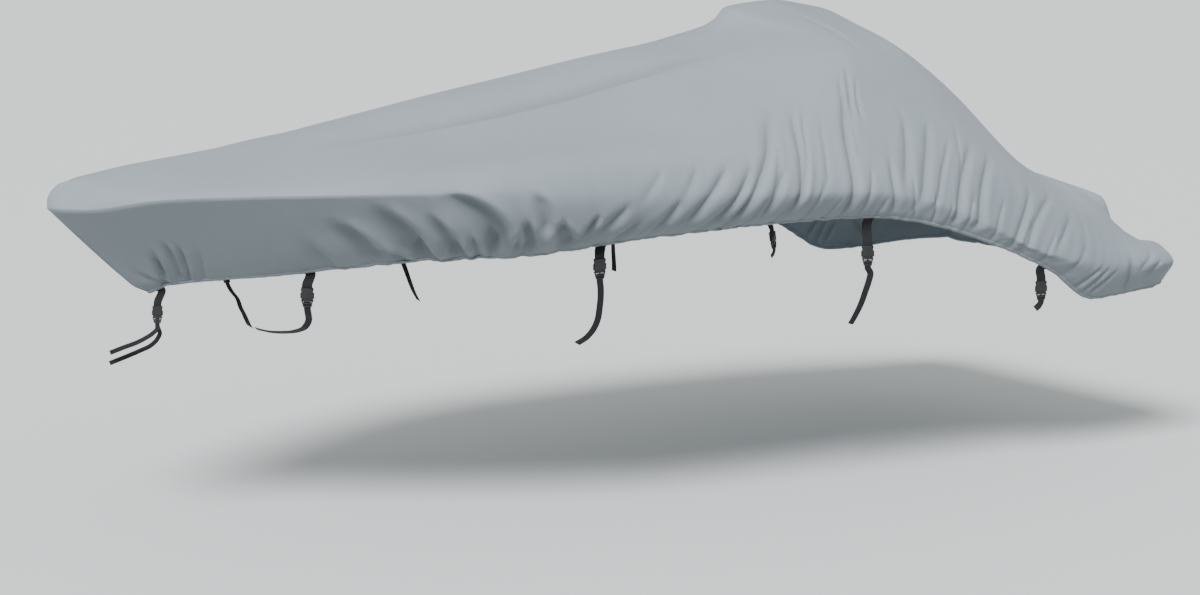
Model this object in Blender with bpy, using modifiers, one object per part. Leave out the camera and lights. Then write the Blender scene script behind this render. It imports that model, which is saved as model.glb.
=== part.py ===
"""Fitted boat cover with tie-down straps, draped over a runabout hull that is left out.

The cover is one closed sheet, hollow underneath. It is lofted through ribs: each rib runs from the
elastic hem over the rub rail, the shoulder, the flank and the crease up to the ridge on the centre
plane. Folds are pressed into the lofted sheet as soft troughs. Straps of webbing hang from the hem,
each with a side-release buckle between its upper and its lower webbing.

Hull frame, metres: x runs aft from the nose, y to starboard and z up from the ground. The frame
hangs from an empty that puts the underside of the hump's top at the world's origin.
"""
import math
from typing import NamedTuple

import bmesh
import bpy
import numpy as np
from mathutils import Matrix, Vector

# ---------------------------------------------------------------- driving dimensions, metres
SHEET = 0.002                # thickness of the cover's cloth
GAP = 0.0003                 # clearance between pieces that touch face to face
HELD_AT = (3.70, 0.0, 2.254)   # underside of the hump's top, which rests on what the cover hides

COLUMN_STEP_WIDE = 0.090     # spacing of the cover's columns along the rail
COLUMN_STEP_FINE = 0.058     # the same where the folds are close
FINE_FROM, FINE_TO = 0.95, 4.95   # stretch of the close columns, x at the rail

WEBBING_THICK = 0.002
WEBBING_STEP = 0.012         # spacing of the bends along a strap
SEWN_SHARE = 0.85            # how far a strap is sewn up the cloth's lowest row
SEWN_PLAY = 0.0009           # clearance of a strap's sewn end, whose cloth is slightly twisted
BOW_PLAY = 0.0036            # the same beside the stem, where it is twisted more
SEWN_HALF = 0.029            # half the width of the cloth's column that carries a strap
HEM_REACH = 0.012            # how far a strap runs straight on below the hem
BOW_REACH = 0.014            # the same at the stem, where the hem turns under
BUCKLE_THICK = 0.015
BUCKLE_EDGE = 0.003          # bevel of the buckle's edges
BUCKLE_WAIST = (-0.22, 0.28)   # where the buckle starts to narrow, as shares of its length from its middle
BUCKLE_ENDS = (0.70, 0.90)     # its width at its foot and its top, as shares of its full width
SLOT_DEPTH = 0.009           # how far the webbing goes into the buckle
TAIL_SLOT = 0.026            # how far the lower webbing goes in
SLOT_PLAY = 0.0010           # clearance round the webbing in its slot
LEAD_IN = 0.012              # straight run of the webbing above the buckle
LEAD_OUT = 0.008             # and below it


class Rib(NamedTuple):
    """One rib of the port side, as points (x, half-breadth, z) from the hem up to the ridge."""
    hem: tuple
    belly: tuple
    rail: tuple
    shoulder: tuple
    flank: tuple
    crease: tuple
    ridge: tuple


# from the stem round the port side to the middle of the stern
RIBS = (
    Rib((0.457, 0.000, 1.058), (0.370, 0.000, 1.101), (0.000, 0.000, 1.455), (0.006, 0.000, 1.510),
        (0.050, 0.000, 1.556), (0.090, 0.000, 1.568), (0.130, 0.0, 1.580)),
    Rib((0.512, 0.045, 1.090), (0.410, 0.040, 1.121), (0.045, 0.095, 1.458), (0.085, 0.062, 1.514),
        (0.118, 0.046, 1.557), (0.135, 0.042, 1.574), (0.180, 0.0, 1.589)),
    Rib((0.590, 0.105, 1.105), (0.475, 0.100, 1.148), (0.130, 0.205, 1.462), (0.145, 0.185, 1.512),
        (0.185, 0.135, 1.560), (0.228, 0.075, 1.586), (0.270, 0.0, 1.604)),
    Rib((0.715, 0.190, 1.120), (0.590, 0.205, 1.192), (0.315, 0.350, 1.500), (0.325, 0.320, 1.530),
        (0.360, 0.230, 1.570), (0.395, 0.115, 1.606), (0.420, 0.0, 1.628)),
    Rib((0.870, 0.330, 1.140), (0.780, 0.410, 1.245), (0.600, 0.580, 1.523), (0.608, 0.535, 1.550),
        (0.630, 0.370, 1.590), (0.655, 0.180, 1.620), (0.670, 0.0, 1.660)),
    Rib((1.100, 0.500, 1.172), (1.025, 0.590, 1.278), (0.870, 0.745, 1.529), (0.880, 0.690, 1.562),
        (0.905, 0.500, 1.606), (0.932, 0.220, 1.648), (0.950, 0.0, 1.698)),
    Rib((1.450, 0.720, 1.207), (1.405, 0.858, 1.322), (1.320, 0.960, 1.527), (1.322, 0.885, 1.602),
        (1.325, 0.640, 1.648), (1.330, 0.280, 1.698), (1.330, 0.0, 1.768)),
    Rib((1.850, 0.890, 1.224), (1.830, 1.046, 1.340), (1.800, 1.100, 1.512), (1.800, 1.005, 1.636),
        (1.810, 0.740, 1.690), (1.820, 0.310, 1.763), (1.820, 0.0, 1.862)),
    Rib((2.360, 1.000, 1.275), (2.360, 1.124, 1.354), (2.350, 1.165, 1.490), (2.350, 1.060, 1.648),
        (2.350, 0.780, 1.728), (2.350, 0.330, 1.850), (2.350, 0.0, 1.956)),
    Rib((2.880, 1.060, 1.302), (2.880, 1.150, 1.360), (2.880, 1.195, 1.465), (2.880, 1.085, 1.638),
        (2.880, 0.800, 1.775), (2.900, 0.370, 1.967), (2.900, 0.0, 2.048)),
    Rib((3.220, 1.088, 1.311), (3.220, 1.143, 1.353), (3.220, 1.200, 1.452), (3.225, 1.090, 1.620),
        (3.250, 0.855, 1.786), (3.290, 0.470, 2.018), (3.230, 0.0, 2.096)),
    Rib((3.362, 1.106, 1.312), (3.364, 1.156, 1.351), (3.370, 1.200, 1.446), (3.390, 1.090, 1.607),
        (3.450, 0.888, 1.791), (3.560, 0.600, 2.036), (3.380, 0.0, 2.145)),
    Rib((3.449, 1.115, 1.310), (3.451, 1.162, 1.350), (3.460, 1.200, 1.441), (3.495, 1.090, 1.600),
        (3.570, 0.900, 1.791), (3.700, 0.628, 2.041), (3.432, 0.0, 2.185)),
    Rib((3.537, 1.130, 1.308), (3.544, 1.170, 1.345), (3.560, 1.200, 1.432), (3.595, 1.090, 1.594),
        (3.670, 0.900, 1.789), (3.780, 0.624, 2.041), (3.475, 0.0, 2.227)),
    Rib((3.661, 1.150, 1.293), (3.671, 1.180, 1.327), (3.700, 1.200, 1.405), (3.720, 1.090, 1.583),
        (3.775, 0.900, 1.780), (3.860, 0.616, 2.040), (3.700, 0.0, 2.256)),
    Rib((3.877, 1.160, 1.248), (3.890, 1.183, 1.278), (3.930, 1.200, 1.340), (3.930, 1.090, 1.556),
        (3.945, 0.900, 1.757), (3.985, 0.602, 2.026), (3.920, 0.0, 2.238)),
    Rib((4.143, 1.158, 1.166), (4.157, 1.180, 1.194), (4.200, 1.195, 1.230), (4.200, 1.090, 1.482),
        (4.200, 0.890, 1.694), (4.180, 0.560, 1.992), (4.180, 0.0, 2.168)),
    Rib((4.391, 1.148, 1.074), (4.406, 1.172, 1.100), (4.450, 1.190, 1.110), (4.450, 1.090, 1.385),
        (4.450, 0.880, 1.575), (4.450, 0.560, 1.806), (4.450, 0.0, 1.985)),
    Rib((4.618, 1.130, 0.973), (4.639, 1.160, 0.999), (4.700, 1.185, 1.040), (4.700, 1.090, 1.270),
        (4.700, 0.890, 1.410), (4.700, 0.590, 1.548), (4.700, 0.0, 1.700)),
    Rib((4.879, 1.085, 0.821), (4.888, 1.120, 0.864), (4.900, 1.170, 1.000), (4.890, 1.080, 1.200),
        (4.880, 0.920, 1.318), (4.880, 0.650, 1.410), (4.880, 0.0, 1.490)),
    Rib((5.060, 1.062, 0.814), (5.066, 1.105, 0.857), (5.080, 1.160, 0.985), (5.030, 1.060, 1.155),
        (5.000, 0.960, 1.270), (4.980, 0.730, 1.366), (4.980, 0.0, 1.410)),
    Rib((5.240, 1.045, 0.824), (5.245, 1.085, 0.864), (5.260, 1.150, 0.975), (5.190, 1.050, 1.095),
        (5.120, 0.970, 1.190), (5.070, 0.860, 1.318), (5.030, 0.0, 1.378)),
    Rib((5.410, 1.020, 0.838), (5.420, 1.045, 0.875), (5.435, 1.092, 0.962), (5.388, 1.030, 1.033),
        (5.225, 0.940, 1.066), (5.130, 0.885, 1.290), (5.060, 0.0, 1.362)),
    Rib((5.515, 0.900, 0.858), (5.532, 0.915, 0.886), (5.548, 0.950, 0.955), (5.506, 0.905, 1.027),
        (5.285, 0.790, 1.062), (5.178, 0.770, 1.282), (5.080, 0.0, 1.356)),
    Rib((5.540, 0.600, 0.864), (5.556, 0.605, 0.890), (5.567, 0.620, 0.952), (5.524, 0.600, 1.025),
        (5.300, 0.520, 1.062), (5.198, 0.500, 1.284), (5.100, 0.0, 1.350)),
    Rib((5.545, 0.000, 0.866), (5.560, 0.000, 0.892), (5.570, 0.000, 0.952), (5.527, 0.000, 1.025),
        (5.305, 0.000, 1.062), (5.202, 0.000, 1.286), (5.120, 0.0, 1.344)),
)
# rows of the mesh between one line of the ribs and the next, from the hem up
ROWS_BETWEEN = (2, 3, 2, 2, 2, 3)


class Fold(NamedTuple):
    """A soft trough across the skirt, drawn on an elevation from its foot to its head."""
    foot_along: float
    foot_z: float
    head_along: float
    head_z: float
    width: float
    depth: float


# port side, drawn on the side elevation: along is x
SIDE_FOLDS = (
    Fold(1.110, 1.17, 0.905, 1.33, 0.045, 0.008),
    Fold(1.255, 1.19, 0.945, 1.42, 0.045, 0.019),
    Fold(1.415, 1.22, 1.085, 1.49, 0.048, 0.023),
    Fold(1.530, 1.24, 1.315, 1.45, 0.042, 0.014),
    Fold(1.680, 1.29, 1.350, 1.53, 0.050, 0.027),
    Fold(1.835, 1.37, 1.740, 1.53, 0.042, 0.014),
    Fold(2.060, 1.33, 2.210, 1.50, 0.045, 0.016),
    Fold(2.350, 1.31, 2.480, 1.50, 0.040, 0.016),
    Fold(2.540, 1.39, 2.750, 1.61, 0.038, 0.018),
    Fold(2.660, 1.35, 2.860, 1.61, 0.036, 0.020),
    Fold(2.770, 1.37, 3.240, 1.84, 0.034, 0.018),
    Fold(2.910, 1.38, 3.040, 1.60, 0.034, 0.014),
    Fold(3.050, 1.38, 3.350, 1.85, 0.036, 0.018),
    Fold(3.350, 1.36, 3.620, 1.90, 0.036, 0.020),
    Fold(3.610, 1.34, 3.650, 1.60, 0.034, 0.014),
    Fold(3.720, 1.32, 3.880, 1.78, 0.034, 0.013),
    Fold(3.840, 1.30, 4.040, 1.75, 0.036, 0.014),
    Fold(3.960, 1.26, 4.280, 1.64, 0.036, 0.016),
    Fold(4.110, 1.24, 4.380, 1.58, 0.036, 0.015),
    Fold(4.310, 1.12, 4.540, 1.42, 0.036, 0.016),
    Fold(4.420, 1.12, 4.740, 1.36, 0.036, 0.016),
    Fold(4.610, 1.10, 4.770, 1.26, 0.036, 0.012),
)
# stern, seen from behind: along is the half-breadth to port, and its negative to starboard
STERN_FOLDS = (
    Fold(-0.78, 0.87, -0.70, 1.22, 0.055, 0.014),
    Fold(-0.31, 0.88, -0.36, 1.24, 0.055, 0.012),
    Fold(0.08, 0.87, 0.05, 1.20, 0.050, 0.010),
    Fold(0.52, 0.88, 0.47, 1.24, 0.055, 0.014),
    Fold(0.84, 0.87, 0.74, 1.20, 0.050, 0.012),
)
STARBOARD_SHIFT = 0.055      # the starboard folds lie off the port ones by up to this much
STARBOARD_TURNS = 2.4        # step of the wave that spreads the shift, radians a fold
FOLD_LIP = 0.35              # height of the swell beside a fold, as a share of its depth
LIP_AT = 1.9                 # where the swell stands, in fold widths
HEM_HOLD = 0.25              # share of a fold's depth that the taut hem leaves
HEM_HOLD_HEIGHT = 0.10       # height over the hem where a fold has its full depth
HEM_WAVE = 0.004             # how far the gathered hem wanders
CALM_RADIUS = 0.12           # the sheet is smooth this far round a strap's sewn end
CALM_HEIGHT = 0.10           # and this high above the hem there
STERN_FROM = 5.18            # x where the skirt turns round the stern's corner


class StrapSize(NamedTuple):
    """Widths of a strap's pieces, and the length of its buckle."""
    webbing: float
    tail: float
    buckle: float
    length: float


WIDE = StrapSize(0.045, 0.030, 0.062, 0.094)
NARROW = StrapSize(0.035, 0.020, 0.050, 0.075)


class Strap(NamedTuple):
    """A tie-down strap of the port side, as points (x, half-breadth, z) of the hull frame."""
    name: str
    size: StrapSize
    hem_x: float
    turn: float              # how far the buckle is turned to face forward, degrees
    buckle_top: tuple
    buckle_foot: tuple
    tails: tuple
    tail_across: tuple       # the width's direction at the tails' free ends


STRAPS = (
    Strap("bow", NARROW, 0.484, 0.0, (0.480, 0.022, 1.001), (0.479, 0.019, 0.926), (
        ((0.474, 0.029, 0.904), (0.450, 0.034, 0.885), (0.414, 0.033, 0.866), (0.378, 0.030, 0.851),
         (0.320, 0.024, 0.834), (0.259, 0.018, 0.815)),
        ((0.488, 0.008, 0.900), (0.497, 0.000, 0.877), (0.486, -0.006, 0.850), (0.455, -0.008, 0.824),
         (0.414, -0.008, 0.809), (0.352, -0.006, 0.790), (0.264, -0.004, 0.765))), (0.45, 0.30, -0.80)),
    Strap("fore", WIDE, 0.995, 0.0, (0.992, 0.452, 1.094), (1.008, 0.418, 1.001), (
        ((1.020, 0.402, 0.968), (1.034, 0.375, 0.939), (1.033, 0.340, 0.905), (1.023, 0.280, 0.881),
         (0.997, 0.190, 0.864), (0.967, 0.100, 0.858), (0.941, 0.030, 0.863)),), (0.80, 0.10, -0.50)),
    Strap("mid", WIDE, 2.175, 0.0, (2.148, 0.978, 1.200), (2.158, 0.964, 1.107), (
        ((2.167, 0.956, 1.066), (2.173, 0.946, 1.020), (2.177, 0.930, 0.969), (2.184, 0.905, 0.920),
         (2.185, 0.870, 0.873), (2.180, 0.820, 0.828), (2.171, 0.750, 0.789)),), (0.80, 0.00, -0.60)),
    Strap("waist", WIDE, 3.531, 18.0, (3.506, 1.120, 1.178), (3.513, 1.114, 1.085), (
        ((3.532, 1.110, 1.048), (3.528, 1.104, 1.010), (3.519, 1.092, 0.963), (3.509, 1.074, 0.905),
         (3.497, 1.048, 0.847), (3.485, 1.026, 0.803)),), (0.94, 0.20, 0.10)),
    Strap("quarter", WIDE, 4.557, 22.0, (4.564, 1.110, 0.931), (4.573, 1.102, 0.839), (
        ((4.571, 1.100, 0.822), (4.563, 1.097, 0.809), (4.546, 1.092, 0.795)),), (0.90, 0.40, 0.00)),
)


def smooth_line(stations, values, at):
    """Read a smooth curve through the values at rising stations, with tangents from the neighbours."""
    stations = np.asarray(stations, float)
    values = np.asarray(values, float)
    spans = np.diff(stations)
    slopes = np.diff(values, axis=0) / spans[:, None]
    tangents = np.empty_like(values)
    tangents[0], tangents[-1] = slopes[0], slopes[-1]
    before, after = spans[:-1, None], spans[1:, None]
    tangents[1:-1] = (slopes[:-1] * after + slopes[1:] * before) / (before + after)
    span = np.clip(np.searchsorted(stations, at, side="right") - 1, 0, len(spans) - 1)
    length = spans[span][:, None]
    t = ((at - stations[span]) / spans[span])[:, None]
    return ((2 * t**3 - 3 * t**2 + 1) * values[span] + (t**3 - 2 * t**2 + t) * length * tangents[span]
            + (3 * t**2 - 2 * t**3) * values[span + 1] + (t**3 - t**2) * length * tangents[span + 1])


def arc_stations(points):
    """Return how far along its polyline each point lies."""
    return np.concatenate([[0.0], np.cumsum(np.linalg.norm(np.diff(points, axis=0), axis=1))])


# ---------------------------------------------------------------- the cover's sheet
def half_grid(side):
    """Lay out one side of the cover (-1 port, +1 starboard) as an array of columns, rows and xyz."""
    lines = np.array([[rib[k] for rib in RIBS] for k in range(len(Rib._fields))])
    hem, rail = lines[0], lines[Rib._fields.index("rail")]
    stations = (arc_stations(hem) + arc_stations(rail)) / 2
    along = [0.0]
    while along[-1] < stations[-1]:
        x = np.interp(along[-1], stations, rail[:, 0])
        along.append(along[-1] + (COLUMN_STEP_FINE if FINE_FROM < x < FINE_TO else COLUMN_STEP_WIDE))
    along = np.array(along) * stations[-1] / along[-1]
    for strap in STRAPS[1:]:
        centre = np.interp(strap.hem_x, np.interp(along, stations, hem[:, 0]), along)
        below = int(np.searchsorted(along, centre)) - 1
        along[below:below + 2] = centre - SEWN_HALF, centre + SEWN_HALF
    drawn = np.stack([smooth_line(stations, line, along) for line in lines], axis=1)
    rows = np.concatenate([k + np.arange(n) / n for k, n in enumerate(ROWS_BETWEEN)] + [[len(ROWS_BETWEEN)]])
    grid = np.stack([smooth_line(np.arange(len(lines)), column, rows) for column in drawn])
    grid[..., 1] *= side
    wave = HEM_WAVE * np.sin(along * 9.1 + side) * np.sin(along * 2.3 + 0.7)
    grid[1:-1, 0, 2] += wave[1:-1]
    return press_folds(grid, side)


def outward(grid, side):
    """Return the unit normals of a half grid, which point out of the hull."""
    across = np.cross(np.gradient(grid, axis=0), np.gradient(grid, axis=1)) * -side
    return across / np.maximum(np.linalg.norm(across, axis=2, keepdims=True), 1e-9)


def trough(along, z, fold):
    """Return how deep a fold is at points of its elevation: 1 in its bed, below 0 on its lips."""
    run = np.array([fold.head_along - fold.foot_along, fold.head_z - fold.foot_z])
    length = np.hypot(*run)
    run /= length
    reach = (along - fold.foot_along) * run[0] + (z - fold.foot_z) * run[1]
    off = np.abs((along - fold.foot_along) * run[1] - (z - fold.foot_z) * run[0]) / fold.width
    head = np.clip((length - reach) / (0.35 * length), 0, 1)
    foot = np.clip((reach + 0.35 * length) / (0.30 * length), 0, 1)
    ends = head**2 * (3 - 2 * head) * foot**2 * (3 - 2 * foot)
    return (np.exp(-off**2) - FOLD_LIP * np.exp(-(off - LIP_AT)**2)) * ends


def strap_calm(grid, side):
    """Return 0 near where a strap is sewn to the hem and 1 away from it, for every point."""
    calm = np.ones(grid.shape[:2])
    for strap in STRAPS:
        away = np.hypot(grid[..., 0] - strap.hem_x, grid[..., 1] - side * strap.buckle_top[1])
        up = (grid[..., 2] - grid[:, :1, 2]) / CALM_HEIGHT
        calm *= 1 - np.exp(-(away / CALM_RADIUS)**4) * np.exp(-up**4)
    return calm


def press_folds(grid, side):
    """Press the folds of one side, and its share of the stern's, into the smooth sheet."""
    x, y, z = grid[..., 0], grid[..., 1], grid[..., 2]
    depth = np.zeros(grid.shape[:2])
    abeam = np.clip((STERN_FROM - x) / 0.12, 0, 1)
    for number, fold in enumerate(SIDE_FOLDS):
        shift = STARBOARD_SHIFT * math.sin(STARBOARD_TURNS * number + 1) if side > 0 else 0.0
        placed = fold._replace(foot_along=fold.foot_along + shift, head_along=fold.head_along + shift * 0.6)
        depth += fold.depth * trough(x, z, placed) * abeam
    for fold in STERN_FOLDS:
        depth += fold.depth * trough(-y, z, fold) * (1 - abeam) * np.clip((x - 5.2) / 0.08, 0, 1)
    held = HEM_HOLD + (1 - HEM_HOLD) * np.clip((z - z[:, :1]) / HEM_HOLD_HEIGHT, 0, 1)
    steady = strap_calm(grid, side) * held
    steady[:, -1] = 0
    steady[0] = 0
    return grid - outward(grid, side) * (depth * steady)[..., None]


def cover_object(port, starboard, material):
    """Join the two half grids along the ridge, the stem and the stern, and give the sheet its thickness."""
    columns, rows = port.shape[:2]
    mesh = bmesh.new()
    shared = {}

    def corner(grid, side, i, j):
        middle = i in (0, columns - 1) or j == rows - 1
        key = (0 if middle else side, i, j)
        if key not in shared:
            shared[key] = mesh.verts.new(grid[i, j])
        return shared[key]

    for side, grid in ((-1, port), (1, starboard)):
        for i in range(columns - 1):
            for j in range(rows - 1):
                ring = [corner(grid, side, *at) for at in ((i, j), (i + 1, j), (i + 1, j + 1), (i, j + 1))]
                mesh.faces.new(ring if side < 0 else ring[::-1])
    bmesh.ops.recalc_face_normals(mesh, faces=mesh.faces)
    cover = finish_object("cover_body", mesh, material)
    cover.data.shade_smooth()
    wall = cover.modifiers.new("wall", "SOLIDIFY")
    wall.thickness = SHEET
    wall.offset = -1
    return cover


# ---------------------------------------------------------------- straps
def ribbon(name, path, across, width, material):
    """Extrude a flat strap along its path; across gives the width's direction at each of the path's points."""
    path, across = np.asarray(path, float), np.asarray(across, float)
    stations = arc_stations(path)
    count = max(2, int(round(stations[-1] / WEBBING_STEP)) + 1)
    at = np.linspace(0, stations[-1], count)
    path = smooth_line(stations, path, at)
    half = np.stack([np.interp(at, stations, across[:, axis]) for axis in range(3)], axis=1)
    ahead = np.gradient(path, axis=0)
    ahead /= np.linalg.norm(ahead, axis=1, keepdims=True)
    half -= ahead * np.sum(half * ahead, axis=1, keepdims=True)
    half *= width / 2 / np.linalg.norm(half, axis=1, keepdims=True)
    mesh = bmesh.new()
    edge = mesh.edges.new([mesh.verts.new(path[0] - half[0]), mesh.verts.new(path[0] + half[0])])
    for point, reach in zip(path[1:], half[1:]):
        left, right = edge.verts
        grown = bmesh.ops.extrude_edge_only(mesh, edges=[edge])["geom"]
        edge = next(e for e in grown if isinstance(e, bmesh.types.BMEdge))
        for vert in edge.verts:
            vert.co = point - reach if (vert.co - left.co).length < (vert.co - right.co).length else point + reach
    bmesh.ops.recalc_face_normals(mesh, faces=mesh.faces)
    strap = finish_object(name, mesh, material)
    wall = strap.modifiers.new("weave", "SOLIDIFY")
    wall.thickness = WEBBING_THICK
    wall.offset = 0
    return strap


def buckle(name, top, foot, across, size, layers, material):
    """Make a side-release buckle's body between two points.

    A slot in each end takes the webbing; layers is how many webbings lie in the lower one.
    """
    mesh = bmesh.new()
    bmesh.ops.create_cube(mesh, size=1)
    bmesh.ops.scale(mesh, verts=mesh.verts, vec=(size.buckle, BUCKLE_THICK, size.length))
    for share in BUCKLE_WAIST:
        bmesh.ops.bisect_plane(mesh, geom=[*mesh.verts, *mesh.edges, *mesh.faces],
                               plane_co=(0, 0, share * size.length), plane_no=(0, 0, 1))
    for vert in mesh.verts:
        if abs(vert.co.z) > 0.4 * size.length:
            vert.co.x *= BUCKLE_ENDS[vert.co.z > 0]
    bmesh.ops.bevel(mesh, geom=[e for e in mesh.edges if e.calc_face_angle(0) > math.radians(60)],
                    offset=BUCKLE_EDGE, segments=1, profile=0.5, affect="EDGES", material=-1)
    for end, width, stack, depth in ((1, size.webbing, 1, SLOT_DEPTH), (-1, size.tail, layers, TAIL_SLOT)):
        face = max(mesh.faces, key=lambda f: f.calc_center_median().z * end)
        bmesh.ops.inset_region(mesh, faces=[face], thickness=0.001)
        for vert in face.verts:
            vert.co.x = math.copysign(width / 2 + SLOT_PLAY, vert.co.x)
            vert.co.y = math.copysign(stack * (WEBBING_THICK + GAP) / 2 + SLOT_PLAY, vert.co.y)
        floor = bmesh.ops.extrude_face_region(mesh, geom=[face])["geom"]
        bmesh.ops.delete(mesh, geom=[face], context="FACES_ONLY")
        bmesh.ops.translate(mesh, verts=[v for v in floor if isinstance(v, bmesh.types.BMVert)],
                            vec=(0, 0, -end * (depth + GAP)))
    bmesh.ops.recalc_face_normals(mesh, faces=mesh.faces)
    body = finish_object(name, mesh, material)
    up = (Vector(top) - Vector(foot)).normalized()
    side = (Vector(across) - up * Vector(across).dot(up)).normalized()
    turn = Matrix((side, up.cross(side), up)).transposed()
    body.matrix_local = Matrix.Translation((Vector(top) + Vector(foot)) / 2) @ turn.to_4x4()
    return body


def sewn_end(grid, strap, side):
    """Find where a strap is sewn: its top and foot on the cloth's inner face, and the hem's direction."""
    hem = grid[:, 0]
    middles = (hem[:-1] + hem[1:]) / 2
    at = int(np.argmin(np.hypot(middles[:, 0] - strap.hem_x, middles[:, 1] - side * strap.buckle_top[1])))
    low = (grid[at, 0] + grid[at + 1, 0]) / 2
    high = (grid[at, 1] + grid[at + 1, 1]) / 2
    along = grid[at + 1, 0] - grid[at, 0]
    inward = np.cross(along, high - low) * side
    play = BOW_PLAY if strap.name == "bow" else SEWN_PLAY
    inward *= (SHEET + WEBBING_THICK / 2 + play) / np.linalg.norm(inward)
    return low + (high - low) * SEWN_SHARE + inward, low + inward, along / np.linalg.norm(along)


def build_strap(strap, grid, side, webbing, plastic):
    """Make one strap: webbing sewn inside the hem, its buckle, and the webbing below it."""
    size, bow = strap.size, strap.name == "bow"
    mirror = np.array((1, -1 if bow else side, 1))
    label = strap.name if bow else f"{strap.name}_{'port' if side < 0 else 'starboard'}"
    top, foot = np.array(strap.buckle_top) * mirror, np.array(strap.buckle_foot) * mirror
    down = (foot - top) / np.linalg.norm(foot - top)
    foot = top + down * size.length
    sewn, hem, across = sewn_end(grid, strap, side)
    leave = hem + (hem - sewn) / np.linalg.norm(hem - sewn) * (BOW_REACH if bow else HEM_REACH)
    level = across - down * np.dot(across, down)
    level /= np.linalg.norm(level)
    out = np.cross(down, level) * -side
    level = level * math.cos(math.radians(strap.turn)) + out * math.sin(math.radians(strap.turn))
    ribbon(f"webbing_{label}", [sewn, hem, leave, top - down * LEAD_IN, top, top + down * (SLOT_DEPTH - GAP)],
           [across] * 3 + [level] * 3, size.webbing, webbing)
    buckle(f"buckle_{label}", top, foot, level, size, len(strap.tails), plastic)
    flat = np.cross(down, level)
    flat *= (WEBBING_THICK + GAP * 2) / np.linalg.norm(flat)
    free = np.array(strap.tail_across) * mirror
    for number, tail in enumerate(strap.tails):
        layer = flat * (number - (len(strap.tails) - 1) / 2) * (-1 if bow else 1)
        points = np.array(tail) * mirror + layer
        name = f"tail_{label}" if len(strap.tails) == 1 else f"tail_{label}_{number + 1}"
        path = [foot - down * (TAIL_SLOT - GAP) + layer, foot + layer, foot + down * LEAD_OUT + layer, *points]
        share = np.linspace(0, 1, len(points) + 1)[1:, None]
        facing = np.concatenate([[level] * 3, level * (1 - share) + free * share])
        ribbon(name, path, facing, size.tail, webbing)


# ---------------------------------------------------------------- scene
def plain_material(name, colour, roughness):
    """Make a Principled BSDF material of one colour."""
    material = bpy.data.materials.new(name)
    material.use_nodes = True
    shader = next(n for n in material.node_tree.nodes if n.type == "BSDF_PRINCIPLED")
    shader.inputs["Base Color"].default_value = (*colour, 1)
    shader.inputs["Roughness"].default_value = roughness
    shader.inputs["Metallic"].default_value = 0.0
    material.diffuse_color = (*colour, 1)
    return material


def finish_object(name, mesh, material):
    """Turn a bmesh into an object of the cover's collection, hung from the hull frame's empty."""
    data = bpy.data.meshes.new(name)
    mesh.to_mesh(data)
    mesh.free()
    data.materials.append(material)
    made = bpy.data.objects.new(name, data)
    bpy.data.collections["boat_cover"].objects.link(made)
    made.parent = bpy.data.objects["hull_frame"]
    return made


def main():
    """Clear the scene and build the cover with its straps."""
    for old in list(bpy.data.objects):
        bpy.data.objects.remove(old, do_unlink=True)
    collection = bpy.data.collections.new("boat_cover")
    bpy.context.scene.collection.children.link(collection)
    frame = bpy.data.objects.new("hull_frame", None)
    frame.location = -Vector(HELD_AT)
    collection.objects.link(frame)

    polyester = plain_material("grey_polyester", (0.36, 0.41, 0.45), 0.85)
    webbing = plain_material("black_webbing", (0.022, 0.023, 0.025), 0.80)
    plastic = plain_material("black_plastic", (0.015, 0.015, 0.016), 0.45)

    port, starboard = half_grid(-1), half_grid(1)
    cover_object(port, starboard, polyester)
    for strap in STRAPS:
        build_strap(strap, port, -1, webbing, plastic)
        if strap.name != "bow":
            build_strap(strap, starboard, 1, webbing, plastic)
    bpy.context.view_layer.update()


main()
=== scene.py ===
"""Looks of the fitted boat cover: grey canvas pulled down by an elastic hem, with black tie-down straps.

The sheet is laid out again through the same ribs as the solid, on a far finer grid, and its folds are
pressed in as troughs with swollen lips. The hem, the webbing and the buckles are separate pieces
that stand for their solids. All sizes are metres; x runs aft, y to starboard and z up.
"""

import logging
import math
from dataclasses import dataclass, field
from enum import Enum
from typing import Callable, NamedTuple, Sequence

import bmesh
import bpy
import numpy as np
from mathutils import Matrix, Vector, noise


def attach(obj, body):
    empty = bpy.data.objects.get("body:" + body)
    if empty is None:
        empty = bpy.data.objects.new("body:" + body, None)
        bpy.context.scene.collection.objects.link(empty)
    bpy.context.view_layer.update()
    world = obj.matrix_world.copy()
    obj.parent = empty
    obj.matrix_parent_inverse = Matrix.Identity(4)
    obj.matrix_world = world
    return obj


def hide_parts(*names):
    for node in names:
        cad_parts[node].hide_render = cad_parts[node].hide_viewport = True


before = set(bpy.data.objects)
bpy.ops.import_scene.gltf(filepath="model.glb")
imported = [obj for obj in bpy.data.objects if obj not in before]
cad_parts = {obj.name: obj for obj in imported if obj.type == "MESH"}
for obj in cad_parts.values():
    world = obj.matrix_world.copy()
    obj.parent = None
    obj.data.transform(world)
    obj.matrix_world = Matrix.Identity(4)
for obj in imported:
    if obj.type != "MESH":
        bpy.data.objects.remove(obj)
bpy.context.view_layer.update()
LOG = logging.getLogger("boat_cover")

Grid = np.ndarray
Mesh = bmesh.types.BMesh
Piece = bpy.types.Object
Material = bpy.types.Material
Socket = bpy.types.NodeSocket

HELD_AT = np.array((3.70, 0.0, 2.254))   # the world's origin, seen from the nose at ground level
GROUND = -float(HELD_AT[2])
SHEET_THICK = 0.0016
UP_ROWS = 4                              # finest rows from the hem that give the way up from it


class Side(Enum):
    """A side of the boat, as the sign of y."""

    PORT = -1
    STARBOARD = 1


# ---------------------------------------------------------------- the form, shared with the solids
class Rib(NamedTuple):
    """One rib of the port side, as points (x, half-breadth, z) from the hem up to the ridge."""

    hem: tuple
    belly: tuple
    rail: tuple
    shoulder: tuple
    flank: tuple
    crease: tuple
    ridge: tuple


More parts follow.
